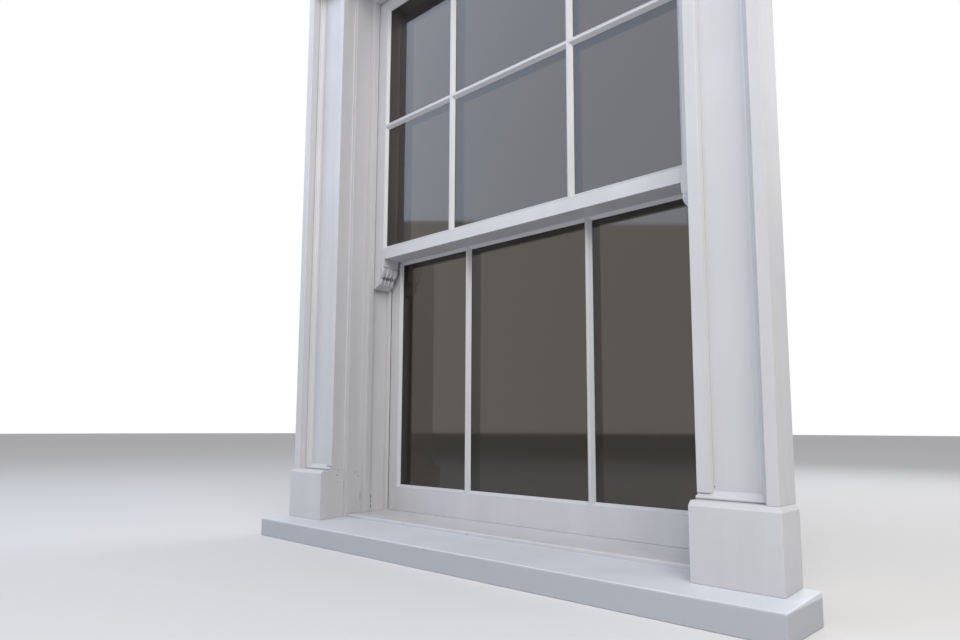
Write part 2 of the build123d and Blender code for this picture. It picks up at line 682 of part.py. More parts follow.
# Sashes
def light(y_face, z_low, z_high, bevel_low, bevel_high):
    """The space that the members of a sash leave for its glass: rebate, sight size and room-side bevel."""
    arris = SIGHT + PUTTY_WIDTH
    y_back = y_face + SASH_THICKNESS
    z0, z1 = z_low - PUTTY_WIDTH, z_high + PUTTY_WIDTH
    space = block(-arris, arris, y_face - 1, y_face + REBATE_DEPTH, z0, z1)
    space += block(-SIGHT, SIGHT, y_face, y_back + 1, z_low, z_high)
    tail = 0 if bevel_low else 2 * BEVEL_WIDTH
    crown = 0 if bevel_high else 2 * BEVEL_WIDTH
    z0, z1 = z_low - tail, z_high + crown
    middle, height = (z0 + z1) / 2, z1 - z0
    narrow = Plane((0, y_back - BEVEL_DEPTH, middle), x_dir=(1, 0, 0), z_dir=(0, 1, 0))
    flare = loft([
        narrow * Rectangle(2 * SIGHT, height),
        narrow.offset(BEVEL_DEPTH) * Rectangle(2 * (SIGHT + BEVEL_WIDTH), height + 2 * BEVEL_WIDTH),
    ])
    low = z_low - BEVEL_WIDTH if bevel_low else z_low
    high = z_high + BEVEL_WIDTH if bevel_high else z_high
    return space + (flare & block(-2 * SIGHT, 2 * SIGHT, y_face, y_back + 1, low, high))


def tenon(y_face, z0, z1):
    """Tenon at the right end of a rail, and the mortise for it in the stile."""
    y0 = y_face + (SASH_THICKNESS - TENON_THICKNESS) / 2
    return block(
        SIGHT, SIGHT + TENON_LENGTH, y0, y0 + TENON_THICKNESS, z0 + TENON_SHOULDER, z1 - TENON_SHOULDER
    )


def rail(y_face, z0, z1, space, back=0.0):
    """Rail between the stiles, with a tenon at each end."""
    piece = block(-SIGHT, SIGHT, y_face, y_face + SASH_THICKNESS + back, z0, z1) - space
    piece += tenon(y_face, z0, z1)
    return piece + other_side(tenon(y_face, z0, z1))


def stile(y_face, z0, z1, space, rails, z_knot):
    """Right stile with the cord groove in its edge, its knot hole and the mortises."""
    piece = block(SIGHT, STILE_OUTER, y_face, y_face + SASH_THICKNESS, z0, z1) - space
    for z_low, z_high in rails:
        piece -= tenon(y_face, z_low, z_high)
    middle = y_face + SASH_THICKNESS / 2
    half = CORD_GROOVE_WIDTH / 2
    x0 = STILE_OUTER - CORD_GROOVE_DEPTH
    piece -= block(x0, STILE_OUTER + 1, middle - half, middle + half, z_knot, z1 + 1)
    hole = (STILE_OUTER - CORD_GROOVE_DEPTH - 4, middle, z_knot)
    return piece - rod(KNOT_RADIUS + 2, hole, (STILE_OUTER + 1, middle, z_knot))


def horn_space(shift):
    """The space cut away beside a horn, moved outwards by shift."""
    z = Z_UPPER_RAIL_FOOT
    curve = [(6, 25), (4, 36), (10, 50), (19, 58), (23, 68), (24, 78)]
    turns = [(-9, 0), (0, 0), (2, 24), curve[0]]
    foot = [curve[-1], (30, 82), (44, HORN_DROP - 2), (44, HORN_DROP + 1), (-9, HORN_DROP + 1), (-9, 0)]
    edges = [Line(a, b) for a, b in zip(turns, turns[1:])]
    edges += [Spline(*curve)]
    edges += [Line(a, b) for a, b in zip(foot, foot[1:])]
    face = Plane((SIGHT + shift, Y_UPPER - 1, z), x_dir=(1, 0, 0), z_dir=(0, 1, 0)) * make_face(edges)
    return extrude(face, amount=SASH_THICKNESS + 2)


def horn_flutes():
    """Upright flutes carved in the inner face of a horn."""
    space = horn_space(FLUTE_DEPTH)
    z = Z_UPPER_RAIL_FOOT
    cuts = []
    for k in (-1, 0, 1):
        y = Y_UPPER_MIDDLE + k * FLUTE_PITCH
        band = block(SIGHT, STILE_OUTER, y - FLUTE_WIDTH / 2, y + FLUTE_WIDTH / 2, z - 80, z - 30)
        cuts.append(space & band)
    return cuts


def glazing_bar(y_face, z0, z1):
    """Upright glazing bar: tongue outside the glass, bevelled towards the room."""
    half, tongue = BAR_WIDTH / 2, BAR_TONGUE / 2
    y_glass = y_face + REBATE_DEPTH
    y_back = y_face + SASH_THICKNESS
    outline = [
        (tongue, y_face),
        (tongue, y_glass),
        (half, y_glass),
        (half, y_back - BEVEL_DEPTH),
        (tongue, y_back),
    ]
    return upright(outline + [(-x, y) for x, y in reversed(outline)], z0, z1)


def cross_bar(y_face, z_middle):
    """The same bar laid across the sash."""
    turned = Rot(0, 90, 0) * glazing_bar(y_face, -SIGHT - PUTTY_WIDTH, SIGHT + PUTTY_WIDTH)
    return Pos(0, 0, z_middle) * turned


def cells(z_low, z_high, z_bars):
    """The (x0, x1, z0, z1) of each pane's rebate."""
    arris, tongue = SIGHT + PUTTY_WIDTH, BAR_TONGUE / 2
    columns = [(-arris, -BAR_OFFSET - tongue), (-BAR_OFFSET + tongue, BAR_OFFSET - tongue)]
    columns.append((BAR_OFFSET + tongue, arris))
    edges = [z_low - PUTTY_WIDTH]
    for z in z_bars:
        edges += [z - tongue, z + tongue]
    edges.append(z_high + PUTTY_WIDTH)
    rows = list(zip(edges[0::2], edges[1::2]))
    return [(x0, x1, z0, z1) for z0, z1 in rows for x0, x1 in columns]


def pane(y_face, cell):
    """Sheet of glass, a little smaller than its rebate."""
    x0, x1, z0, z1 = cell
    p = GLASS_PLAY
    return block(x0 + p, x1 - p, y_face + GLASS_DEPTH, y_face + REBATE_DEPTH, z0 + p, z1 - p)


def putty(y_face, cell):
    """Bevelled ring of putty in front of a pane."""
    x0, x1, z0, z1 = cell
    ring = block(x0, x1, y_face, y_face + GLASS_DEPTH, z0, z1)
    front = Plane(((x0 + x1) / 2, y_face, (z0 + z1) / 2), x_dir=(1, 0, 0), z_dir=(0, 1, 0))
    width, height = x1 - x0, z1 - z0
    return ring - loft([
        front * Rectangle(width - 2 * PUTTY_EDGE, height - 2 * PUTTY_EDGE),
        front.offset(GLASS_DEPTH) * Rectangle(width - 2 * PUTTY_WIDTH, height - 2 * PUTTY_WIDTH),
    ])


# Fastener
def pivot_y():
    """Depth of the fastener's pivot."""
    return Y_LOWER - MEETING_REACH + PIVOT_SET


def tongue_reach():
    """Reach of the tongue from the pivot, ending just short of the upper sash's room face."""
    return pivot_y() - (Y_UPPER + SASH_THICKNESS + TONGUE_CLEARANCE)


def fastener_base():
    """Plate on the lower meeting rail with the pivot that the lever turns on."""
    y, z = pivot_y(), Z_MEETING
    half = FASTENER_LENGTH / 2
    top = z + PLATE_THICKNESS
    plate = block(-half, half, y - FASTENER_WIDTH / 2, y + FASTENER_WIDTH / 2, z, top)
    lever_top = top + 2 * LEVER_SEAT + LEVER_THICKNESS
    plate += rod(PIVOT_DIAMETER / 2, (0, y, top), (0, y, lever_top))
    plate += rod(PIVOT_HEAD_DIAMETER / 2, (0, y, lever_top), (0, y, lever_top + PIVOT_HEAD_HEIGHT))
    for x in (-FASTENER_LENGTH * 0.36, FASTENER_LENGTH * 0.36):
        plate -= countersink((x, y, top), (0, 0, -1))
    return plate


def fastener_lever():
    """Lever drawn unlocked: tongue along the rail to the right, handle to the left."""
    y = pivot_y()
    z0 = Z_MEETING + PLATE_THICKNESS + LEVER_SEAT
    z1 = z0 + LEVER_THICKNESS
    end = tongue_reach() - TONGUE_WIDTH / 2
    lever = rod(HUB_DIAMETER / 2, (0, y, z0), (0, y, z1))
    lever += block(0, end, y - TONGUE_WIDTH / 2, y + TONGUE_WIDTH / 2, z0, z1)
    lever += rod(TONGUE_WIDTH / 2, (end, y, z0), (end, y, z1))
    lever += block(-HANDLE_REACH, 0, y - HANDLE_WIDTH / 2, y + HANDLE_WIDTH / 2, z0, z1)
    knob = (-HANDLE_REACH, y, z0)
    lever += rod(KNOB_DIAMETER / 2, knob, (-HANDLE_REACH, y, z1 + KNOB_HEIGHT))
    bore = PIVOT_DIAMETER / 2 + PIVOT_CLEARANCE
    return lever - rod(bore, (0, y, z0 - 1), (0, y, z1 + KNOB_HEIGHT))


def fastener_keep():
    """Keep on the upper meeting rail: the tongue turns in under its hood."""
    y1 = Y_LOWER - MEETING_REACH - MEETING_GAP
    half = KEEP_LENGTH / 2
    z0 = Z_MEETING
    z_hood = z0 + PLATE_THICKNESS + 2 * LEVER_SEAT + LEVER_THICKNESS + KEEP_CLEARANCE
    keep = block(-half, half, y1 - KEEP_DEPTH, y1 - KEEP_HOOD + KEEP_WALL, z0, z0 + PLATE_THICKNESS)
    keep += block(-half, half, y1 - KEEP_HOOD, y1 - KEEP_HOOD + KEEP_WALL, z0, z_hood)
    keep += block(-half, half, y1 - KEEP_HOOD, y1, z_hood, z_hood + PLATE_THICKNESS)
    for x in (-half * 0.6, half * 0.6):
        keep -= countersink((x, y1 - (KEEP_DEPTH + KEEP_HOOD) / 2, z0 + PLATE_THICKNESS), (0, 0, -1))
    return keep


def fastener_screw_points():
    """Heads of the screws in the base and in the keep."""
    top = Z_MEETING + PLATE_THICKNESS
    y1 = Y_LOWER - MEETING_REACH - MEETING_GAP
    base = [(side * FASTENER_LENGTH * 0.36, pivot_y(), top) for side in (-1, 1)]
    keep_y = y1 - (KEEP_DEPTH + KEEP_HOOD) / 2
    keep = [(side * KEEP_LENGTH * 0.3, keep_y, top) for side in (-1, 1)]
    return base, keep


# Lifts
def lift_screw_points():
    """Heads of the screws that hold the two hook lifts."""
    y = Y_LOWER + SASH_THICKNESS + PLATE_THICKNESS
    z = Z_LOWER_FOOT + LIFT_ABOVE_RAIL_FOOT
    points = []
    for x in (-LIFT_OFFSET, LIFT_OFFSET):
        for side in (-1, 1):
            points.append((x + side * LIFT_WIDTH * 0.28, y, z + LIFT_HEIGHT * 0.8))
    return points


def lift(x):
    """Hook lift: a plate with a lip that the fingers go behind."""
    y0 = Y_LOWER + SASH_THICKNESS
    y1 = y0 + LIFT_REACH
    z0 = Z_LOWER_FOOT + LIFT_ABOVE_RAIL_FOOT
    t = PLATE_THICKNESS
    outline = [
        (y0, z0 + LIFT_HEIGHT),
        (y0, z0),
        (y1 - 4, z0),
        (y1, z0 + 4),
        (y1, z0 + LIFT_LIP),
        (y1 - t, z0 + LIFT_LIP),
        (y1 - t, z0 + t + 3),
        (y1 - t - 3, z0 + t),
        (y0 + t, z0 + t),
        (y0 + t, z0 + LIFT_HEIGHT),
    ]
    piece = across(outline, x - LIFT_WIDTH / 2, x + LIFT_WIDTH / 2)
    for point in lift_screw_points():
        if abs(point[0] - x) < LIFT_WIDTH:
            piece -= countersink(point, (0, -1, 0))
    return piece


# Frame
save("outer_sill", outer_sill())
save("frame_sill", frame_sill())
for name, piece in {
    "plinth": [plinth()],
    "architrave": [architrave_board()],
    "architrave_moulding": [moulding_leg(), moulding_return()],
    "reveal": [reveal_side()],
    "outer_lining": [outer_lining()],
    "pulley_stile": [pulley_stile()],
}.items():
    save(f"{name}_right", *piece)
    save(f"{name}_left", *[other_side(solid) for solid in piece])
save("frieze_board", frieze_board())
save("cap_board", cap_board())
save("reveal_head", reveal_head())
save("outer_lining_head", outer_lining_head())
save("frame_head", frame_head())
save("inner_linings", inner_lining(), other_side(inner_lining()), inner_lining_head())
save("back_linings", back_lining(), other_side(back_lining()))
save("parting_slips", parting_slip(), other_side(parting_slip()))
save("parting_beads", parting_bead(), other_side(parting_bead()), parting_bead_head())
save("staff_beads", *staff_beads())
save("pocket_pieces", pocket_piece(), other_side(pocket_piece()))

# Balance
cases = []
case_screws = []
for which, y, z_knot, z_top, length in (
    ("upper", Y_UPPER_MIDDLE, Z_UPPER_KNOT, Z_UPPER_WEIGHT, UPPER_WEIGHT_LENGTH),
    ("lower", Y_LOWER_MIDDLE, Z_LOWER_KNOT, Z_LOWER_WEIGHT, LOWER_WEIGHT_LENGTH),
):
    case = pulley_case(y)
    cases += [case, other_side(case)]
    for piece in pulley_screws(y):
        case_screws += [piece, other_side(piece)]
    wheel = pulley_wheel(y)
    line = cord(f"{which} cord", y, z_knot, z_top)
    iron = weight(y, z_top, length)
    for name, piece in (("wheel", wheel), ("cord", line), ("weight", iron)):
        save(f"{name}_{which}_right", piece)
        save(f"{name}_{which}_left", other_side(piece))
save("pulley_cases", *cases)
save("pulley_screws", *case_screws)

# Upper sash
z_low, z_high = Z_MEETING, Z_UPPER_TOP - TOP_RAIL
z_cross = (z_low + z_high) / 2
space = light(Y_UPPER, z_low, z_high, False, True)
rails = [(Z_UPPER_RAIL_FOOT, z_low), (z_high, Z_UPPER_TOP)]
upper_stile = stile(Y_UPPER, Z_UPPER_RAIL_FOOT - HORN_DROP, Z_UPPER_TOP, space, rails, Z_UPPER_KNOT)
upper_stile -= horn_space(0)
for flute in horn_flutes():
    upper_stile -= flute
save("upper_stile_right", upper_stile)
save("upper_stile_left", other_side(upper_stile))
save("upper_top_rail", rail(Y_UPPER, z_high, Z_UPPER_TOP, space))
meeting = rail(Y_UPPER, Z_UPPER_RAIL_FOOT, z_low, space)
y_back = Y_UPPER + SASH_THICKNESS
y_meet = Y_LOWER - MEETING_REACH - MEETING_GAP
splay = [
    (y_back, Z_UPPER_RAIL_FOOT),
    (y_meet + MEETING_SPLAY, Z_UPPER_RAIL_FOOT),
    (y_meet, z_low),
    (y_back, z_low),
]
meeting += across(splay, -SIGHT, SIGHT)
_, keep_points = fastener_screw_points()
for point in keep_points:
    meeting -= pilot_hole(point, (0, 0, -1))
save("upper_meeting_rail", meeting)
upright_bar = glazing_bar(Y_UPPER, z_low - 50, z_high + 50)
bars = [Pos(x, 0, 0) * upright_bar & space for x in (-BAR_OFFSET, BAR_OFFSET)]
save("upper_bars", *bars)
crossing = cross_bar(Y_UPPER, z_cross) & space
for bar in bars:
    crossing -= bar
save("upper_cross_bar", crossing)
upper_cells = cells(z_low, z_high, [z_cross])
save("upper_panes", *[pane(Y_UPPER, cell) for cell in upper_cells])
save("upper_putty", *[putty(Y_UPPER, cell) for cell in upper_cells])
save("fastener_keep", fastener_keep())
save("keep_screws", *[screw(point, (0, 0, -1)) for point in keep_points])

# Lower sash
z_low, z_high = Z_LOWER_FOOT + BOTTOM_RAIL, Z_MEETING - LOWER_MEETING_RAIL
space = light(Y_LOWER, z_low, z_high, True, False)
rails = [(Z_LOWER_FOOT, z_low), (z_high, Z_MEETING)]
lower_stile = stile(Y_LOWER, Z_LOWER_FOOT, Z_MEETING, space, rails, Z_LOWER_KNOT)
save("lower_stile_right", lower_stile)
save("lower_stile_left", other_side(lower_stile))
foot_rail = rail(Y_LOWER, Z_LOWER_FOOT, z_low, space)
for point in lift_screw_points():
    foot_rail -= pilot_hole(point, (0, -1, 0))
save("lower_bottom_rail", foot_rail)
meeting = rail(Y_LOWER, z_high, Z_MEETING, space)
y_meet = Y_LOWER - MEETING_REACH
slope = MEETING_SPLAY / UPPER_MEETING_RAIL
z_lap = z_high + PUTTY_WIDTH
splay = [
    (Y_LOWER, z_lap),
    (y_meet + slope * (Z_MEETING - z_lap), z_lap),
    (y_meet, Z_MEETING),
    (Y_LOWER, Z_MEETING),
]
meeting += across(splay, -SIGHT, SIGHT)
base_points, _ = fastener_screw_points()
for point in base_points:
    meeting -= pilot_hole(point, (0, 0, -1))
save("lower_meeting_rail", meeting)
upright_bar = glazing_bar(Y_LOWER, z_low - 50, z_high + 50)
bars = [Pos(x, 0, 0) * upright_bar & space for x in (-BAR_OFFSET, BAR_OFFSET)]
save("lower_bars", *bars)
lower_cells = cells(z_low, z_high, [])
save("lower_panes", *[pane(Y_LOWER, cell) for cell in lower_cells])
save("lower_putty", *[putty(Y_LOWER, cell) for cell in lower_cells])
save("sash_lifts", lift(-LIFT_OFFSET), lift(LIFT_OFFSET))
save("fastener_base", fastener_base())
save("fastener_lever", fastener_lever())
screws = [screw(point, (0, -1, 0)) for point in lift_screw_points()]
screws += [screw(point, (0, 0, -1)) for point in base_points]
save("sash_screws", *screws)
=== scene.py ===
# %% [markdown]
# # A painted sash window, dressed on its CAD frame
# The window was built first as exact solids, and those solids were packed as a frame in metres: X runs across
# the window, +Y goes from its outside to its inside and +Z up. This lesson gives every visible solid its
# finish, eases the hard edges as sandpaper and paint do, and adds what a joiner or a carver did by hand.

# %% Load the frame
from math import cos, pi, radians, sin

import bmesh
import bpy
from mathutils import Matrix, Vector


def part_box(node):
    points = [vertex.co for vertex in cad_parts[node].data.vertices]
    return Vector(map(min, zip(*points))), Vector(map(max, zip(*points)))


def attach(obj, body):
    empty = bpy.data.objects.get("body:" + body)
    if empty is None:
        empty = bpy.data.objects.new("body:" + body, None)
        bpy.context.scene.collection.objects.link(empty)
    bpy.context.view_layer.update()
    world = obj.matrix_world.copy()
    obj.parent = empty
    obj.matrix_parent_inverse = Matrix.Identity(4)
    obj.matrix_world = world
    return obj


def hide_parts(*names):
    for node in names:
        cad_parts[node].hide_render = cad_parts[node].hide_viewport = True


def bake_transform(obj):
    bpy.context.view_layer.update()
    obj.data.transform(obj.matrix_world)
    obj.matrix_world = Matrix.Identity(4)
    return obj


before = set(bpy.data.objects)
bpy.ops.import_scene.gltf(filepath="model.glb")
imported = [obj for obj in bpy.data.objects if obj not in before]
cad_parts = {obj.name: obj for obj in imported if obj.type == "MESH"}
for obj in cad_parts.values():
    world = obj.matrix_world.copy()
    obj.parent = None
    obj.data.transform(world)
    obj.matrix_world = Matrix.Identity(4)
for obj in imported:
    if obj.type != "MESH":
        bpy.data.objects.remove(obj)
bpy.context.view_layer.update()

# %% [markdown]
# ## Camera
# The camera stands where the photograph's did: outside, to the right of the window and a little below its
# middle, with a wide lens turned upwards. Three angles say where the lens points. Blender's camera looks
# along its own -Z with +Y up, so the three directions right, up and backwards are the columns of its
# rotation. The picture is a crop, so its optical centre isn't quite in the middle, and a small shift says by
# how much.

# %% Camera
YAW, PITCH, ROLL = radians(43.46), radians(6.56), radians(0.15)
STANDPOINT = (1.2085, -1.302475, 0.332)
PICTURE_WIDTH, PICTURE_HEIGHT = 960, 640
FOCAL_LENGTH = 696.2  # in pixels of the picture, as the centre is
CENTRE_ACROSS, CENTRE_DOWN = 487.0, 345.9
SENSOR_WIDTH = 36

forward = Vector((-sin(YAW) * cos(PITCH), cos(YAW) * cos(PITCH), sin(PITCH)))
level = Vector((cos(YAW), sin(YAW), 0))
upward = level.cross(forward)
right = cos(ROLL) * level + sin(ROLL) * upward
upward = cos(ROLL) * upward - sin(ROLL) * level

camera = bpy.data.objects.new("camera", bpy.data.cameras.new("camera"))
bpy.context.scene.collection.objects.link(camera)
turn = Matrix((right, upward, -forward)).transposed().to_4x4()
camera.matrix_world = Matrix.Translation(STANDPOINT) @ turn
camera.data.sensor_width = SENSOR_WIDTH
camera.data.lens = FOCAL_LENGTH * SENSOR_WIDTH / PICTURE_WIDTH
camera.data.shift_x = (PICTURE_WIDTH / 2 - CENTRE_ACROSS) / PICTURE_WIDTH
camera.data.shift_y = (CENTRE_DOWN - PICTURE_HEIGHT / 2) / PICTURE_WIDTH
bpy.context.scene.camera = camera
print("lens", round(camera.data.lens, 2), "mm")

# %% [markdown]
# ## Colours and nodes
# Paint charts and photographs give colours as sRGB hex, while a shader works with linear light, so one
# function turns one into the other. A second one adds a node, sets it and links it in a single call, which
# keeps each material below readable from top to bottom.

# %% Two helpers for materials
def linear(colour):
    """A hex colour as the linear RGBA that a shader takes."""
    parts = [int(colour[i : i + 2], 16) / 255 for i in (1, 3, 5)]
    return [p / 12.92 if p <= 0.04045 else ((p + 0.055) / 1.055) ** 2.4 for p in parts] + [1]


def add(tree, kind, settings={}, inputs={}):
    """Adds a node. An input is a value, or the socket of another node, which is linked."""
    node = tree.nodes.new(kind)
    for name, value in settings.items():
        setattr(node, name, value)
    for name, value in inputs.items():
        if isinstance(value, bpy.types.NodeSocket):
            tree.links.new(value, node.inputs[name])
        else:
            node.inputs[name].default_value = value
    return node


def new_material(name):
    """An empty node material with its output, and the tree it is built in."""
    material = bpy.data.materials.new(name)
    material.use_nodes = True
    material.node_tree.nodes.clear()
    return material, material.node_tree


print("white", [round(v, 3) for v in linear("#ffffff")])

# %% [markdown]
# ## Gloss paint on timber
# The joinery carries many coats of white alkyd gloss, laid on with a brush along the length of each board.
# That gives three things to the eye: a soft sheen, faint furrows that run with the board, and a white that
# is never quite even, a shade greyer where rain and dust have settled. A noise texture squeezed across the
# board draws the furrows. Real bristle marks are half a millimetre apart, far too fine for a picture of a
# whole window, so they are drawn 4 mm apart and very shallow.

# %% Gloss paint
FRESH_GLOSS, SOILED_GLOSS = "#c4c4c7", "#bbbbbd"
GLOSS_ROUGHNESS = 0.36
FURROW_SPACING, FURROW_LENGTH = 0.004, 0.2


def gloss_paint(name, along):
    """White gloss, brushed along X or Z."""
    material, tree = new_material(name)
    place = add(tree, "ShaderNodeTexCoord").outputs["Object"]
    stretch = [1 / FURROW_SPACING] * 3
    stretch["XYZ".index(along)] = 1 / FURROW_LENGTH
    squeezed = add(tree, "ShaderNodeMapping", {}, {"Vector": place, "Scale": stretch})
    furrows = add(tree, "ShaderNodeTexNoise", {}, {"Vector": squeezed.outputs[0], "Scale": 1, "Detail": 3})
    clouds = add(tree, "ShaderNodeTexNoise", {}, {"Vector": place, "Scale": 1 / 0.22, "Detail": 5})
    specks = add(tree, "ShaderNodeTexNoise", {}, {"Vector": place, "Scale": 1 / 0.012, "Detail": 2})
    runs = add(tree, "ShaderNodeMapping", {}, {"Vector": place, "Scale": [1 / 0.06, 1 / 0.06, 1 / 0.7]})
    rain = add(tree, "ShaderNodeTexNoise", {}, {"Vector": runs.outputs[0], "Scale": 1, "Detail": 2})
    both = add(tree, "ShaderNodeMath", {"operation": "MULTIPLY"},
               {0: clouds.outputs[0], 1: rain.outputs[0]})
    soil = add(tree, "ShaderNodeMapRange", {}, {"Value": both.outputs[0], "From Min": 0.14, "From Max": 0.5})
    colour = add(tree, "ShaderNodeMix", {"data_type": "RGBA"},
                 {0: soil.outputs[0], 6: linear(FRESH_GLOSS), 7: linear(SOILED_GLOSS)})
    sheen = add(tree, "ShaderNodeMapRange", {},
                {"Value": clouds.outputs[0], "From Min": 0.3, "From Max": 0.7,
                 "To Min": GLOSS_ROUGHNESS - 0.05, "To Max": GLOSS_ROUGHNESS + 0.07})
    height = add(tree, "ShaderNodeMath", {"operation": "MULTIPLY_ADD"},
                 {0: specks.outputs[0], 1: 0.35, 2: furrows.outputs[0]})
    bump = add(tree, "ShaderNodeBump", {},
               {"Height": height.outputs[0], "Distance": 0.0004, "Strength": 0.22})
    shader = add(tree, "ShaderNodeBsdfPrincipled", {},
                 {"Base Color": colour.outputs[2], "Roughness": sheen.outputs[0],
                  "Normal": bump.outputs[0], "IOR": 1.5})
    add(tree, "ShaderNodeOutputMaterial", {}, {"Surface": shader.outputs[0]})
    return material


paint_upright = gloss_paint("white_gloss_upright", "Z")
paint_level = gloss_paint("white_gloss_level", "X")
print(paint_upright.name, paint_level.name)

# %% [markdown]
# ## Painted sill
# The outside sill is stone or render under masonry paint. It takes rain and dust, so it is duller than the
# joinery and a little pitted, and its top has patches of dirt. The top is painted a lighter white and the
# front face below the arris a darker grey: painted light on the top and painted shade on the front.

# %% Masonry paint
ARRIS_HEIGHT, ARRIS_BLEND = 0.0505, 0.004


def masonry_paint(name):
    """Matt white paint over stone."""
    material, tree = new_material(name)
    place = add(tree, "ShaderNodeTexCoord").outputs["Object"]
    clouds = add(tree, "ShaderNodeTexNoise", {}, {"Vector": place, "Scale": 1 / 0.16, "Detail": 6})
    grains = add(tree, "ShaderNodeTexNoise", {}, {"Vector": place, "Scale": 1 / 0.006, "Detail": 3})
    pits = add(tree, "ShaderNodeTexVoronoi", {}, {"Vector": place, "Scale": 1 / 0.02})
    hollow = add(tree, "ShaderNodeMapRange", {},
                 {"Value": pits.outputs["Distance"], "From Min": 0.05, "From Max": 0.2})
    soil = add(tree, "ShaderNodeMapRange", {},
               {"Value": clouds.outputs[0], "From Min": 0.4, "From Max": 0.75})
    # The top's lighter white is painted light, a lit copy of the paint; the noise adds patches of real dirt.
    top_painted_light_and_dirt = add(tree, "ShaderNodeMix", {"data_type": "RGBA"},
                 {0: soil.outputs[0], 6: linear("#cfd3da"), 7: linear("#c6c9ce")})
    level = add(tree, "ShaderNodeSeparateXYZ", {}, {"Vector": place}).outputs["Z"]
    # Below the front arris the colour turns to a darker grey: painted shade on the front face.
    face = add(tree, "ShaderNodeMapRange", {},
               {"Value": level, "From Min": ARRIS_HEIGHT, "From Max": ARRIS_HEIGHT - ARRIS_BLEND})
    colour = add(tree, "ShaderNodeMix", {"data_type": "RGBA"},
                 {0: face.outputs[0], 6: top_painted_light_and_dirt.outputs[2], 7: linear("#aaadb3")})
    height = add(tree, "ShaderNodeMath", {"operation": "MULTIPLY_ADD"},
                 {0: hollow.outputs[0], 1: 0.5, 2: grains.outputs[0]})
    bump = add(tree, "ShaderNodeBump", {},
               {"Height": height.outputs[0], "Distance": 0.0006, "Strength": 0.35})
    shader = add(tree, "ShaderNodeBsdfPrincipled", {},
                 {"Base Color": colour.outputs[2], "Roughness": 0.48, "Normal": bump.outputs[0]})
    add(tree, "ShaderNodeOutputMaterial", {}, {"Surface": shader.outputs[0]})
    return material


sill_paint = masonry_paint("white_masonry_paint")
print(sill_paint.name)

# %% [markdown]
# ## Glass
# The panes are 4 mm sheet glass. From outside such a pane looks dark, because little light comes back
# through it, with a pale mirror image over it. This window stands free, with light all round it, so that
# dark is painted into the glass: a dark brown tint lets little light through, which is painted shade of the
# inside behind it, and the glass keeps the full mirror of clean glass.
# Old sheet glass isn't flat, so a long and very shallow ripple bends what it mirrors.

# %% Window glass
def window_glass(name):
    """Sheet glass, tinted dark brown: painted shade of the dark inside behind it."""
    material, tree = new_material(name)
    place = add(tree, "ShaderNodeTexCoord").outputs["Object"]
    ripple = add(tree, "ShaderNodeTexNoise", {}, {"Vector": place, "Scale": 1 / 0.3, "Detail": 0})
    bump = add(tree, "ShaderNodeBump", {},
               {"Height": ripple.outputs[0], "Distance": 0.0008, "Strength": 0.12})
    # The dark brown base colour is painted shade, for the dark inside behind the pane.
    shader = add(tree, "ShaderNodeBsdfPrincipled", {},
                 {"Base Color": linear("#47423a"), "Roughness": 0.04, "IOR": 1.5,
                  "Transmission Weight": 1.0, "Normal": bump.outputs[0]})
    add(tree, "ShaderNodeOutputMaterial", {}, {"Surface": shader.outputs[0]})
    return material


pane_glass = window_glass("sheet_glass")
print(pane_glass.name)

# %% [markdown]
# ## Putty
# Each pane is bedded in linseed putty, struck off with a knife to a slope and painted with the sash. The
# knife leaves the slope slightly wavy, and the paint over it dries a touch duller than on wood.

# %% Painted putty
def painted_putty(name):
    """Paint over a knifed slope."""
    material, tree = new_material(name)
    place = add(tree, "ShaderNodeTexCoord").outputs["Object"]
    knife = add(tree, "ShaderNodeTexNoise", {}, {"Vector": place, "Scale": 1 / 0.03, "Detail": 2})
    clouds = add(tree, "ShaderNodeTexNoise", {}, {"Vector": place, "Scale": 1 / 0.12, "Detail": 4})
    colour = add(tree, "ShaderNodeMix", {"data_type": "RGBA"},
                 {0: clouds.outputs[0], 6: linear("#c8cacd"), 7: linear("#bcbdbf")})
    bump = add(tree, "ShaderNodeBump", {}, {"Height": knife.outputs[0], "Distance": 0.0012, "Strength": 0.3})
    shader = add(tree, "ShaderNodeBsdfPrincipled", {},
                 {"Base Color": colour.outputs[2], "Roughness": 0.42, "Normal": bump.outputs[0]})
    add(tree, "ShaderNodeOutputMaterial", {}, {"Surface": shader.outputs[0]})
    return material


putty_paint = painted_putty("painted_putty")
print(putty_paint.name)

# %% [markdown]
# ## Bare timber
# Inside the weight boxes and behind the beads nobody paints: the pine stays bare and turns honey brown.
# Pine is laid down in rings, pale in spring and darker in late summer, and a sawn board cuts them into long
# lines about 4 mm apart. A wave texture draws the rings, and noise squeezed along the board bends them.

# %% Bare pine
def bare_pine(name, along):
    """Unpainted pine with its grain along X or Z."""
    material, tree = new_material(name)
    place = add(tree, "ShaderNodeTexCoord").outputs["Object"]
    scale = [1.0, 1.0, 1.0]
    scale["XYZ".index(along)] = 0.06
    board = add(tree, "ShaderNodeMapping", {}, {"Vector": place, "Scale": scale})
    rings = add(tree, "ShaderNodeTexWave", {"wave_type": "RINGS", "rings_direction": along},
                {"Vector": board.outputs[0], "Scale": 1 / 0.012, "Distortion": 3, "Detail": 3,
                 "Detail Scale": 0.4})
    fibre = add(tree, "ShaderNodeTexNoise", {},
                {"Vector": board.outputs[0], "Scale": 1 / 0.0012, "Detail": 3})
    wood = add(tree, "ShaderNodeMix", {"data_type": "RGBA"},
               {0: rings.outputs["Fac"], 6: linear("#b19b7b"), 7: linear("#947b5e")})
    colour = add(tree, "ShaderNodeMix", {"data_type": "RGBA"},
                 {0: fibre.outputs[0], 6: wood.outputs[2], 7: linear("#7e6a52")})
    bump = add(tree, "ShaderNodeBump", {}, {"Height": fibre.outputs[0], "Distance": 0.0004, "Strength": 0.4})
    shader = add(tree, "ShaderNodeBsdfPrincipled", {},
                 {"Base Color": colour.outputs[2], "Roughness": 0.68, "Normal": bump.outputs[0]})
    add(tree, "ShaderNodeOutputMaterial", {}, {"Surface": shader.outputs[0]})
    return material


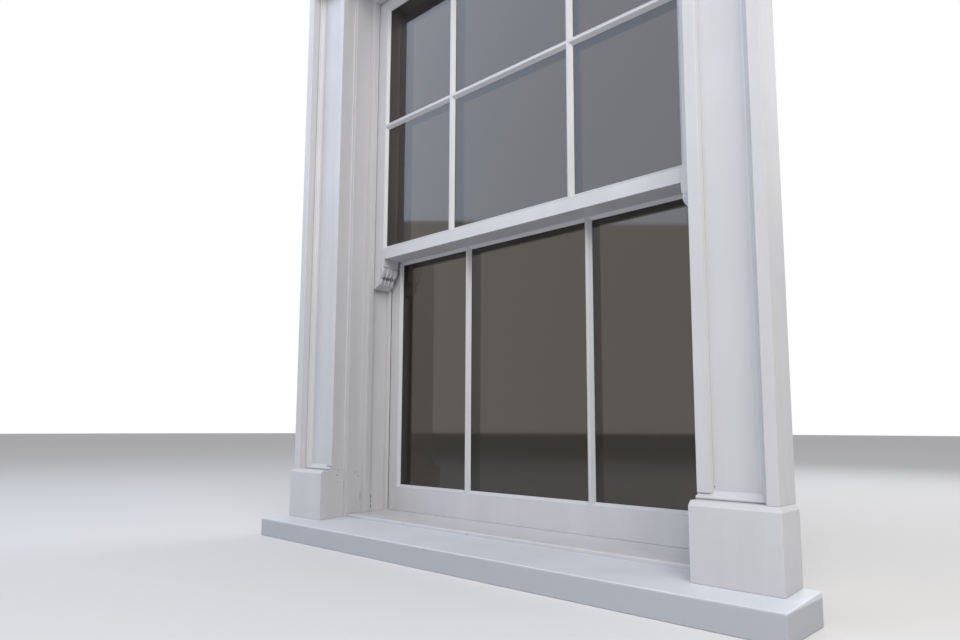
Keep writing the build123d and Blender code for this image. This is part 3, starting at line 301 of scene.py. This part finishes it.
pine_upright = bare_pine("bare_pine_upright", "Z")
pine_level = bare_pine("bare_pine_level", "X")
print(pine_upright.name, pine_level.name)

# %% [markdown]
# ## Metals
# The pulleys, the fastener and the lifts are cast and polished brass, gone dull under old lacquer. The
# weights are rough iron, cast in sand and left as they came out of it. For a metal, colour is the colour of
# its reflection and the default IOR stays, so only the tint and the roughness say which metal it is.

# %% Brass and cast iron
def dull_brass(name, bright, dull, rough):
    """Polished brass with tarnish in patches."""
    material, tree = new_material(name)
    place = add(tree, "ShaderNodeTexCoord").outputs["Object"]
    patches = add(tree, "ShaderNodeTexNoise", {}, {"Vector": place, "Scale": 1 / 0.012, "Detail": 5})
    stain = add(tree, "ShaderNodeMapRange", {},
                {"Value": patches.outputs[0], "From Min": 0.4, "From Max": 0.65})
    colour = add(tree, "ShaderNodeMix", {"data_type": "RGBA"},
                 {0: stain.outputs[0], 6: linear(bright), 7: linear(dull)})
    sheen = add(tree, "ShaderNodeMapRange", {},
                {"Value": stain.outputs[0], "To Min": rough, "To Max": rough + 0.2})
    shader = add(tree, "ShaderNodeBsdfPrincipled", {},
                 {"Base Color": colour.outputs[2], "Metallic": 1.0, "Roughness": sheen.outputs[0]})
    add(tree, "ShaderNodeOutputMaterial", {}, {"Surface": shader.outputs[0]})
    return material


def sand_cast_iron(name):
    """Iron with the grain of the sand mould and a breath of rust."""
    material, tree = new_material(name)
    place = add(tree, "ShaderNodeTexCoord").outputs["Object"]
    sand = add(tree, "ShaderNodeTexNoise", {}, {"Vector": place, "Scale": 1 / 0.0025, "Detail": 4})
    patches = add(tree, "ShaderNodeTexNoise", {}, {"Vector": place, "Scale": 1 / 0.05, "Detail": 5})
    rust = add(tree, "ShaderNodeMapRange", {},
               {"Value": patches.outputs[0], "From Min": 0.5, "From Max": 0.7})
    colour = add(tree, "ShaderNodeMix", {"data_type": "RGBA"},
                 {0: rust.outputs[0], 6: linear("#403d3b"), 7: linear("#5b3f2e")})
    bump = add(tree, "ShaderNodeBump", {}, {"Height": sand.outputs[0], "Distance": 0.0008, "Strength": 0.6})
    shader = add(tree, "ShaderNodeBsdfPrincipled", {},
                 {"Base Color": colour.outputs[2], "Metallic": 0.7, "Roughness": 0.62,
                  "Normal": bump.outputs[0]})
    add(tree, "ShaderNodeOutputMaterial", {}, {"Surface": shader.outputs[0]})
    return material


brass = dull_brass("lacquered_brass", "#bcaa7f", "#867a60", 0.28)
screw_brass = dull_brass("brass_screws", "#a79570", "#726650", 0.38)
iron = sand_cast_iron("sand_cast_iron")
print(brass.name, screw_brass.name, iron.name)

# %% [markdown]
# ## Cotton cord
# A sash hangs on cotton cord: sixteen strands are braided over a core and waxed, so the cord runs quietly
# and doesn't fray on the wheel. The strands cross in two slanting families. Two wave textures turned against
# each other draw them, one strand to 3 mm, and the bump is highest where both are high.

# %% Braided cotton
STRAND_WIDTH, STRAND_LEAN = 0.003, radians(35)
WAVE_SPACING = 0.31  # metres between the bands of a Wave texture of scale 1


def braided_cotton(name):
    """Waxed cord with the crossing strands of its braid."""
    material, tree = new_material(name)
    place = add(tree, "ShaderNodeTexCoord").outputs["Object"]
    families = []
    for lean in (STRAND_LEAN, -STRAND_LEAN):
        turned = add(tree, "ShaderNodeMapping", {}, {"Vector": place, "Rotation": [0, lean, 0]})
        waves = add(tree, "ShaderNodeTexWave", {"bands_direction": "Z"},
                    {"Vector": turned.outputs[0], "Scale": WAVE_SPACING / STRAND_WIDTH, "Distortion": 0.4})
        families.append(waves.outputs["Fac"])
    strands = add(tree, "ShaderNodeMath", {"operation": "MULTIPLY"}, {0: families[0], 1: families[1]})
    dust = add(tree, "ShaderNodeTexNoise", {}, {"Vector": place, "Scale": 1 / 0.04, "Detail": 4})
    # Darker where the strands sink between each other: painted shade in the braid's grooves, with uneven dust
    # from the noise.
    groove_shade_and_dust = add(tree, "ShaderNodeMath", {"operation": "MULTIPLY"},
                {0: strands.outputs[0], 1: dust.outputs[0]})
    colour = add(tree, "ShaderNodeMix", {"data_type": "RGBA"},
                 {0: groove_shade_and_dust.outputs[0], 6: linear("#9c9078"), 7: linear("#d8cfb8")})
    bump = add(tree, "ShaderNodeBump", {},
               {"Height": strands.outputs[0], "Distance": 0.0006, "Strength": 0.7})
    shader = add(tree, "ShaderNodeBsdfPrincipled", {},
                 {"Base Color": colour.outputs[2], "Roughness": 0.72, "Normal": bump.outputs[0]})
    add(tree, "ShaderNodeOutputMaterial", {}, {"Surface": shader.outputs[0]})
    return material


cotton = braided_cotton("braided_cotton")
print(cotton.name)

# %% [markdown]
# ## Easing the arrises
# A CAD solid has perfect edges, and they look wrong: light never catches them. A joiner takes the sharpness
# off with sandpaper, and every coat of paint rounds it further, to a radius of about a millimetre. One way
# is to model each board again with rounded edges. Here the exact shapes exist already, so a copy of each is
# taken, its loose triangles are joined into flat faces, and only edges that turn sharply are bevelled. Some
# nodes hold several boards that touch, such as the staff beads, so each solid is joined on its own. The copy
# then stands for its CAD solid, which stays for the physics.

# %% Easing
SHARP = radians(28)
WELD = 0.00001
SIDES = ((1, "right"), (-1, "left"))


def solids_of(mesh):
    """The faces of each solid. The solids follow each other, and one is complete when no edge is open."""
    solids, solid, unpaired = [], [], set()
    for face in mesh.faces:
        corners = [tuple(round(c, 5) for c in vert.co) for vert in face.verts]
        unpaired ^= {frozenset(edge) for edge in zip(corners, corners[1:] + corners[:1])}
        solid.append(face)
        if not unpaired:
            solids.append(solid)
            solid = []
    if solid:
        solids.append(solid)
    return solids


def joined_copy(node):
    """A bmesh of a CAD node, with the triangles of each solid merged into flat faces."""
    mesh = bmesh.new()
    mesh.from_mesh(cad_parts[node].data)
    for solid in solids_of(mesh):
        corners = list(dict.fromkeys(vert for face in solid for vert in face.verts))
        bmesh.ops.remove_doubles(mesh, verts=corners, dist=WELD)
    bmesh.ops.dissolve_limit(mesh, angle_limit=radians(0.5), verts=mesh.verts, edges=mesh.edges)
    return mesh


def ease(mesh, width, segments):
    """Rounds the edges of a bmesh that turn sharply."""
    arrises = [e for e in mesh.edges if e.is_manifold and e.calc_face_angle(0) > SHARP]
    bmesh.ops.bevel(mesh, geom=arrises, offset=width, offset_type="OFFSET", affect="EDGES",
                    segments=segments, profile=0.5, material=-1, clamp_overlap=False)


def shaded_object(name, mesh, material, smooth_below):
    """Turns a bmesh into an object that is smooth up to an angle in degrees."""
    data = bpy.data.meshes.new(name)
    mesh.to_mesh(data)
    mesh.free()
    data.shade_smooth()
    data.set_sharp_from_angle(angle=radians(smooth_below))
    data.materials.append(material)
    made = bpy.data.objects.new(name, data)
    bpy.context.scene.collection.objects.link(made)
    return made


def make_piece(name, mesh, body, material, smooth_below=32):
    """Turns a bmesh into an object that rides on a body of the frame."""
    piece = shaded_object(name, mesh, material, smooth_below)
    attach(piece, body)
    return piece


def eased(node, body, material, width, segments=3, smooth_below=32):
    """Makes an eased piece that stands for a CAD node."""
    mesh = joined_copy(node)
    ease(mesh, width, segments)
    piece = make_piece("eased_" + node, mesh, body, material, smooth_below)
    # The flat faces set the shading, so the roll-off stays inside the eased edges.
    modifier = piece.modifiers.new("even_shading", "WEIGHTED_NORMAL")
    modifier.keep_sharp = True
    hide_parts(node)


print("easing ready")

# %% [markdown]
# ## The painted joinery
# Every board that shows gets its eased copy. Boards that stand are painted upwards and boards that lie are
# painted sideways, so each takes the paint whose furrows run with it. Outdoor timber is rounded more than
# the small bars of a sash, and the width of each edge follows that. The mouldings keep the crisp lines of the
# plane that ran them, so they are eased least and more of their edges stay sharp.

# %% Casing and frame
UPRIGHT_BOARDS = {"plinth": 0.0014, "architrave": 0.0009, "reveal": 0.0012, "outer_lining": 0.0012,
                  "pulley_stile": 0.0006}
LEVEL_BOARDS = {"frieze_board": 0.0014, "cap_board": 0.0014, "reveal_head": 0.0012,
                "outer_lining_head": 0.0012, "frame_sill": 0.0012}
BOARDS_INSIDE = ("inner_linings", "parting_beads", "staff_beads", "pocket_pieces")
for board, width in UPRIGHT_BOARDS.items():
    for side in ("left", "right"):
        eased(f"{board}_{side}", "frame", paint_upright, width)
for board, width in LEVEL_BOARDS.items():
    eased(board, "frame", paint_level, width)
for side in ("left", "right"):
    eased(f"architrave_moulding_{side}", "frame", paint_upright, 0.0004, 2, 16)
for board in BOARDS_INSIDE:
    eased(board, "frame", paint_upright, 0.0008)
print("painted boards", 2 * len(UPRIGHT_BOARDS) + len(LEVEL_BOARDS) + 2 + len(BOARDS_INSIDE))

# %% Sashes
SASH_MEMBERS = {
    "upper_stile_left": paint_upright, "upper_stile_right": paint_upright, "upper_top_rail": paint_level,
    "upper_meeting_rail": paint_level, "upper_bars": paint_upright, "upper_cross_bar": paint_level,
    "lower_stile_left": paint_upright, "lower_stile_right": paint_upright, "lower_bottom_rail": paint_level,
    "lower_meeting_rail": paint_level, "lower_bars": paint_upright,
}
for node, material in SASH_MEMBERS.items():
    eased(node, node.split("_")[0] + "_sash", material, 0.0008)
print("sash members", len(SASH_MEMBERS))

# %% Sill
eased("outer_sill", "frame", sill_paint, 0.0022, 4)

# %% [markdown]
# ## Finishes on the nodes that keep their shape
# Some solids are right as they are: the panes, the putty, and what hides inside the boxes. They only change
# their material. A CAD object may hold several slots, so each one is filled.

# %% Finishes
def finish_node(node, material):
    """Gives a CAD node its finish."""
    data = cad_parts[node].data
    if not data.materials:
        data.materials.append(material)
    for index in range(len(data.materials)):
        data.materials[index] = material


KEPT = {
    "upper_panes": pane_glass, "lower_panes": pane_glass, "upper_putty": putty_paint,
    "lower_putty": putty_paint, "frame_head": pine_level, "back_linings": pine_upright,
    "parting_slips": pine_upright, "pulley_screws": screw_brass, "keep_screws": screw_brass,
    "sash_screws": screw_brass,
}
for node, material in KEPT.items():
    finish_node(node, material)
print("kept nodes", len(KEPT))

# %% Ironmongery
BRASS_PIECES = {
    "pulley_cases": ("frame", 0.0004, 2), "sash_lifts": ("lower_sash", 0.0009, 3),
    "fastener_base": ("lower_sash", 0.0006, 3), "fastener_keep": ("upper_sash", 0.0008, 3),
    "fastener_lever": ("fastener_lever", 0.0008, 3),
}
for node, (body, width, segments) in BRASS_PIECES.items():
    eased(node, body, brass, width, segments)
for which in ("upper", "lower"):
    for side in ("left", "right"):
        wheel, weight = f"wheel_{which}_{side}", f"weight_{which}_{side}"
        eased(wheel, wheel, brass, 0.0003, 2)
        eased(weight, weight, iron, 0.0014)
print("brass pieces", len(BRASS_PIECES), "and four wheels with their weights")

# %% [markdown]
# ## Carved horns
# The stiles of the upper sash run on below the meeting rail as horns, which keep the joint from opening. The
# joiner sawed their curve, and a carver then cut two tiers of small leaves into the inner edge and a scroll
# on the front. In the solids the curve and the hollows between the leaves are cut already. Each leaf is a
# long drop that stands half out of the wood, thinner towards its tip, and four of them make a tier.

# %% Horn carving
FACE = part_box("upper_stile_right")[0][1]
MIDDLE = (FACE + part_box("upper_stile_right")[1][1]) / 2
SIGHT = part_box("upper_stile_right")[0][0]
RAIL_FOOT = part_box("upper_meeting_rail")[0][2]
LEAF_PITCH = 0.0145
TIP_TAPER = 0.38
# Of each tier in metres: how far in from the stile's edge, how far below the rail, the lean, and half the
# length, width and thickness of a leaf. The leaves on the front have the first two, and one shape.
TIERS = ((0.0118, 0.0485, radians(-35), 0.0115, 0.0054, 0.0032),
         (0.0215, 0.0680, radians(-14), 0.0105, 0.0050, 0.0026))
FRONT_LEAVES = ((0.0125, 0.0270), (0.0100, 0.0335))
FRONT_SHAPE = (radians(-60), 0.0055, 0.0028, 0.0018)
SCROLL_IN, SCROLL_DROP, SCROLL_RADIUS, SCROLL_THICKNESS = 0.0125, 0.0420, 0.0048, 0.0013


def leaf(mesh, place, lean, half_length, half_width, half_height, axis="X"):
    """Adds one drop-shaped leaf. It stands out along X or Y and leans in that plane."""
    grown = bmesh.ops.create_uvsphere(mesh, u_segments=20, v_segments=14, radius=1)["verts"]
    for vert in grown:
        taper = 1 - TIP_TAPER * (vert.co.z < 0) * vert.co.z ** 2
        side = half_width * vert.co.y * taper
        rise = half_height * vert.co.x * taper
        vert.co = Vector((rise, side, half_length * vert.co.z))
    turn = Matrix.Rotation(lean, 4, "Y")
    if axis == "Y":
        turn = turn @ Matrix.Rotation(radians(90), 4, "Z")
    bmesh.ops.transform(mesh, matrix=Matrix.Translation(place) @ turn, verts=grown)


def scroll(mesh, place, radius, thickness):
    """Adds the eye of a scroll: a low ring round a button, on a face that looks along -Y."""
    profile = bmesh.ops.create_circle(
        mesh, segments=12, radius=thickness, matrix=Matrix.Translation(place + Vector((radius, 0, 0))))
    rim = {edge for vert in profile["verts"] for edge in vert.link_edges}
    bmesh.ops.spin(mesh, geom=list(profile["verts"]) + list(rim), cent=place, axis=(0, 1, 0),
                   angle=2 * pi, steps=28, use_merge=True)
    bmesh.ops.create_uvsphere(mesh, u_segments=16, v_segments=10, radius=radius * 0.5,
                              matrix=Matrix.Translation(place) @ Matrix.Diagonal((1, 0.5, 1, 1)))


for side, name in SIDES:
    mesh = bmesh.new()
    for k in (-1.5, -0.5, 0.5, 1.5):
        for inwards, drop, *shape in TIERS:
            leaf(mesh, (SIGHT + inwards, MIDDLE + k * LEAF_PITCH, RAIL_FOOT - drop), *shape)
    for inwards, drop in FRONT_LEAVES:
        leaf(mesh, (SIGHT + inwards, FACE, RAIL_FOOT - drop), *FRONT_SHAPE, "Y")
    eye = Vector((SIGHT + SCROLL_IN, FACE, RAIL_FOOT - SCROLL_DROP))
    scroll(mesh, eye, SCROLL_RADIUS, SCROLL_THICKNESS)
    bmesh.ops.remove_doubles(mesh, verts=mesh.verts, dist=0.00002)
    if side < 0:
        bmesh.ops.scale(mesh, vec=(-1, 1, 1), verts=mesh.verts)
        bmesh.ops.reverse_faces(mesh, faces=mesh.faces)
    bmesh.ops.recalc_face_normals(mesh, faces=mesh.faces)
    piece = make_piece("horn_carving_" + name, mesh, "upper_sash", paint_upright, 60)
    print(piece.name, len(piece.data.polygons), "faces")

# %% [markdown]
# ## Old nail holes and chips
# A century of repairs leaves marks: filled nail holes that have opened again near the foot of the left jamb,
# a few chips at the arrises, and specks of dirt in them. Each is a small shallow plug of dark dirt, sunk in
# the paint and tilted to the face it sits in.

# %% Dirt in the holes
# This dark material also paints the shade in the gap beside the lower sash, further down.
dirt_and_gap_shade, tree = new_material("hole_dirt_and_gap_shade")
place = add(tree, "ShaderNodeTexCoord").outputs["Object"]
grit = add(tree, "ShaderNodeTexNoise", {}, {"Vector": place, "Scale": 1 / 0.0006, "Detail": 3})
colour = add(tree, "ShaderNodeMix", {"data_type": "RGBA"},
             {0: grit.outputs[0], 6: linear("#1f1d1c"), 7: linear("#4b4743")})
shader = add(tree, "ShaderNodeBsdfPrincipled", {}, {"Base Color": colour.outputs[2], "Roughness": 0.85})
add(tree, "ShaderNodeOutputMaterial", {}, {"Surface": shader.outputs[0]})

# Millimetres: place, the way the face looks, half the width of the mark, and how much taller than wide it is.
MARKS = [
    ((-589.5, -63.1, 183.5), "X", 2.3, 1.0), ((-589.5, -59.9, 195.3), "X", 1.4, 1.0),
    ((-589.5, -58.8, 162.4), "X", 1.8, 1.0), ((-577.3, -6.1, 190.4), "X", 1.8, 1.2),
    ((-577.3, 5.5, 177.7), "X", 1.7, 1.6), ((-577.3, 14.5, 120.0), "X", 0.8, 22.0),
    ((-571.3, 47.6, 142.2), "X", 1.6, 1.0), ((-571.3, 50.6, 114.0), "X", 1.3, 5.0),
    ((-571.3, 50.8, 99.0), "X", 1.2, 6.0), ((-571.3, 51.0, 84.0), "X", 1.9, 2.6),
    ((-571.3, 92.0, 108.0), "X", 1.2, 1.0), ((-532.0, 19.9, 68.7), "Z", 1.6, 1.6),
    ((-557.8, -70.2, 56.8), "Z", 1.8, 1.4), ((-557.6, 85.6, 70.0), "Z", 2.4, 1.5),
    ((-527.0, 100.4, 70.3), "Z", 1.9, 1.2), ((-590.0, 6.0, 68.5), "Z", 2.0, 1.5),
    ((-558.5, 25.6, 895.6), "X", 1.3, 1.0), ((-558.5, 34.0, 851.5), "X", 0.9, 2.0),
    ((-310.0, -34.0, 62.0), "Y", 1.6, 1.0), ((-60.0, -34.0, 61.0), "Y", 1.4, 1.0),
    ((-175.0, -34.0, 60.2), "Y", 0.9, 0.3), ((620.3, -75.7, 222.4), "Y", 1.3, 1.0),
    ((-40.0, -196.8, 46.0), "Y", 1.8, 0.7), ((-250.0, -196.8, 45.0), "Y", 1.4, 0.7),
]
MARK_DEPTH = 0.0006
mesh = bmesh.new()
for (x, y, z), looks, half, taller in MARKS:
    turn = {"X": Matrix.Rotation(radians(90), 4, "Y"),
            "Y": Matrix.Rotation(radians(90), 4, "X") @ Matrix.Rotation(radians(90), 4, "Z"),
            "Z": Matrix.Identity(4)}[looks]
    uneven = Matrix.Diagonal((taller, 0.8 + 0.2 * sin(x + z), 1.0, 1.0))
    place = Matrix.Translation((x / 1000, y / 1000, z / 1000))
    bmesh.ops.create_cone(mesh, cap_ends=True, segments=12, radius1=half / 1000, radius2=half / 1400,
                          depth=MARK_DEPTH, matrix=place @ turn @ uneven)
piece = make_piece("old_nail_holes", mesh, "frame", dirt_and_gap_shade)
print(piece.name, len(MARKS))

# %% [markdown]
# ## Dark line beside the lower sash
# The parting bead laps over the face of the lower sash with less than 2 mm between them. That gap is deep
# and narrow and lies in shade, so from outside it is the dark line down the side of the sash. The shade is
# painted: a thin black strip with an uneven edge on the sash's face behind the bead.

# %% Painted gap shade
LOWER_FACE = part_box("lower_stile_right")[0][1]
STILE_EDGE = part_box("lower_stile_right")[1][0]
FOOT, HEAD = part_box("lower_stile_right")[0][2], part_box("lower_stile_right")[1][2]
BAND_INNER, BAND_OUTER, BAND_ENDS, BAND_THICKNESS = 0.0112, 0.0006, 0.003, 0.0004
BAND_WAVER = 0.0003
# Each strip is painted shade: a black sheet on the sash's face where the gap behind the bead lies in shade.
for side, name in SIDES:
    mesh = bmesh.new()
    strip = bmesh.ops.create_grid(mesh, x_segments=1, y_segments=90, size=0.5)["verts"]
    for vert in strip:
        along = (vert.co.y + 0.5) * (HEAD - FOOT - 2 * BAND_ENDS)
        inner = STILE_EDGE - BAND_INNER + BAND_WAVER * sin(along * 61) * cos(along * 23)
        x = STILE_EDGE - BAND_OUTER if vert.co.x > 0 else inner
        vert.co = Vector((side * x, LOWER_FACE, FOOT + BAND_ENDS + along))
    sheet = bmesh.ops.extrude_face_region(mesh, geom=mesh.faces[:])["geom"]
    moved = [item for item in sheet if isinstance(item, bmesh.types.BMVert)]
    bmesh.ops.translate(mesh, vec=(0, -BAND_THICKNESS, 0), verts=moved)
    bmesh.ops.recalc_face_normals(mesh, faces=mesh.faces)
    piece = make_piece("painted_gap_shade_" + name, mesh, "lower_sash", dirt_and_gap_shade)
    print(piece.name, len(piece.data.polygons))

# %% [markdown]
# ## Sash cords
# Each cord runs from a knot in the edge of its sash up over the wheel and down to a knot in the weight. When
# the sash goes up, one leg gets shorter and the other longer by the same length. So a cord is drawn as three
# pieces: the half turn over the wheel stays with the frame, and each straight leg has one end at the wheel
# and one on what moves. A leg has a ring of points at each end only.

# %% Cords
AXLE_X, AXLE_Z, TURN, THICK = 0.595, 1.649745, 0.028, 0.003
# For each sash: the cord's place in depth, the heights of its two knots, and the body it carries.
CORDS = {
    "upper": (0.068275, 1.445445, 0.856245, "upper_sash"),
    "lower": (0.139775, 0.597745, 1.570745, "lower_sash"),
}
KNOT_RADIUS, KNOT_THICK, KNOT_INSET = 0.0024, 0.0021, 0.0045


def cord_leg(name, x, y, foot):
    """A straight leg from the wheel down to the height where its end is tied."""
    mesh = bmesh.new()
    middle = Matrix.Translation((x, y, (foot + AXLE_Z) / 2))
    bmesh.ops.create_cone(mesh, cap_ends=True, segments=20, radius1=THICK, radius2=THICK,
                          depth=AXLE_Z - foot, matrix=middle)
    leg = shaded_object(name, mesh, cotton, 40)
    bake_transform(leg)
    return leg


def knot(name, place, body):
    """A knot: two turns of the cord, pulled tight across each other."""
    mesh = bmesh.new()
    upright = Matrix.Translation((KNOT_RADIUS, 0, 0)) @ Matrix.Rotation(radians(90), 4, "X")
    for lean in (radians(40), radians(-40)):
        ring = bmesh.ops.create_circle(mesh, segments=14, radius=KNOT_THICK, matrix=upright)
        edges = {edge for vert in ring["verts"] for edge in vert.link_edges}
        bmesh.ops.spin(mesh, geom=list(ring["verts"]) + list(edges), cent=(0, 0, 0), axis=(0, 0, 1),
                       angle=2 * pi, steps=20, use_merge=True)
        fresh = [vert for vert in mesh.verts if not vert.tag]
        bmesh.ops.rotate(mesh, verts=fresh, cent=(0, 0, 0), matrix=Matrix.Rotation(lean, 3, "Y"))
        for vert in fresh:
            vert.tag = True
    bmesh.ops.remove_doubles(mesh, verts=mesh.verts, dist=WELD)
    bmesh.ops.recalc_face_normals(mesh, faces=mesh.faces)
    bmesh.ops.translate(mesh, vec=place, verts=mesh.verts)
    return make_piece(name, mesh, body, cotton, 60)


for which, (y, sash_knot, weight_knot, sash) in CORDS.items():
    for side, name in SIDES:
        near, far = side * (AXLE_X - TURN), side * (AXLE_X + TURN)
        weight = f"weight_{which}_{name}"
        sash_leg = cord_leg(f"cord_sash_leg_{which}_{name}", near, y, sash_knot)
        weight_leg = cord_leg(f"cord_weight_leg_{which}_{name}", far, y, weight_knot)
        mesh = bmesh.new()
        bmesh.ops.create_circle(mesh, cap_ends=True, segments=20, radius=THICK,
                                matrix=Matrix.Translation((near, y, AXLE_Z)))
        bmesh.ops.spin(mesh, geom=mesh.verts[:] + mesh.edges[:] + mesh.faces[:],
                       cent=(side * AXLE_X, y, AXLE_Z), axis=(0, side, 0), angle=pi, steps=28)
        bmesh.ops.recalc_face_normals(mesh, faces=mesh.faces)
        over_wheel = make_piece(f"cord_turn_{which}_{name}", mesh, "frame", cotton, 40)
        sash_end = knot(f"cord_sash_knot_{which}_{name}", (near - side * KNOT_INSET, y, sash_knot), sash)
        weight_end = knot(f"cord_weight_knot_{which}_{name}", (far, y, weight_knot), weight)
        for part in (sash_leg, weight_leg, over_wheel, sash_end, weight_end):
            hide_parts(f"cord_{which}_{name}")
        print("cord", which, name, "of 5 pieces")

# %% [markdown]
# ## Floor and light
# A pale floor and a soft studio light show the window as a part for any scene. One broad lamp stands in
# front to the right, a little warm, and a cooler one stands high to the left, so that the upper panes mirror
# it. A third stands behind, for the inner side. The world fills the shade.
# The world is dimmer as a light than it looks: what the camera, a mirror or the glass sees is plain white,
# and the Light Path node tells those rays from the ones that light the object.

# %% World
world = bpy.data.worlds.new("studio")
bpy.context.scene.world = world
world.use_nodes = True
world.node_tree.nodes.clear()
path = add(world.node_tree, "ShaderNodeLightPath")
seen = add(world.node_tree, "ShaderNodeMath", {"operation": "ADD"},
           {0: path.outputs["Is Camera Ray"], 1: path.outputs["Is Glossy Ray"]})
seen = add(world.node_tree, "ShaderNodeMath", {"operation": "ADD", "use_clamp": True},
           {0: seen.outputs[0], 1: path.outputs["Is Transmission Ray"]})
fill = add(world.node_tree, "ShaderNodeBackground", {}, {"Color": linear("#fbfbff"), "Strength": 0.5})
backdrop = add(world.node_tree, "ShaderNodeBackground", {}, {"Color": linear("#ffffff"), "Strength": 1.0})
surround = add(world.node_tree, "ShaderNodeMixShader", {},
               {0: seen.outputs[0], 1: fill.outputs[0], 2: backdrop.outputs[0]})
add(world.node_tree, "ShaderNodeOutputWorld", {}, {"Surface": surround.outputs[0]})
bpy.context.scene.view_settings.view_transform = "Standard"
print("world fill", fill.inputs["Strength"].default_value)

# %% Floor
floor_material, tree = new_material("pale_floor")
shader = add(tree, "ShaderNodeBsdfPrincipled", {}, {"Base Color": linear("#d6d6d6"), "Roughness": 0.9})
add(tree, "ShaderNodeOutputMaterial", {}, {"Surface": shader.outputs[0]})
mesh = bmesh.new()
bmesh.ops.create_circle(mesh, cap_ends=True, radius=30, segments=96)
data = bpy.data.meshes.new("floor")
mesh.to_mesh(data)
mesh.free()
data.materials.append(floor_material)
floor = bpy.data.objects.new("floor", data)
bpy.context.scene.collection.objects.link(floor)
print("floor", floor.name)

# %% Lamps
def softbox(name, place, target, width, height, power, colour):
    """A broad area lamp that points at a target."""
    lamp = bpy.data.objects.new(name, bpy.data.lights.new(name, "AREA"))
    lamp.data.shape = "RECTANGLE"
    lamp.data.size, lamp.data.size_y = width, height
    lamp.data.energy = power
    lamp.data.color = linear(colour)[:3]
    lamp.matrix_world = Matrix.Translation(place) @ (
        Vector(target) - Vector(place)
    ).to_track_quat("-Z", "Y").to_matrix().to_4x4()
    bpy.context.scene.collection.objects.link(lamp)


softbox("warm_lamp_right", (2.2, -2.0, 3.0), (0, 0, 0.7), 2.6, 2.4, 108, "#fffbf5")
softbox("cool_lamp_left", (-2.6, -2.8, 3.55), (0, 0, 1.2), 3.4, 3.0, 80, "#cbdcfa")
softbox("plain_lamp_behind", (0.4, 3.6, 3.1), (0, 0, 0.9), 2.4, 2.4, 58, "#fdfdff")
print("lamps", len(bpy.data.lights))
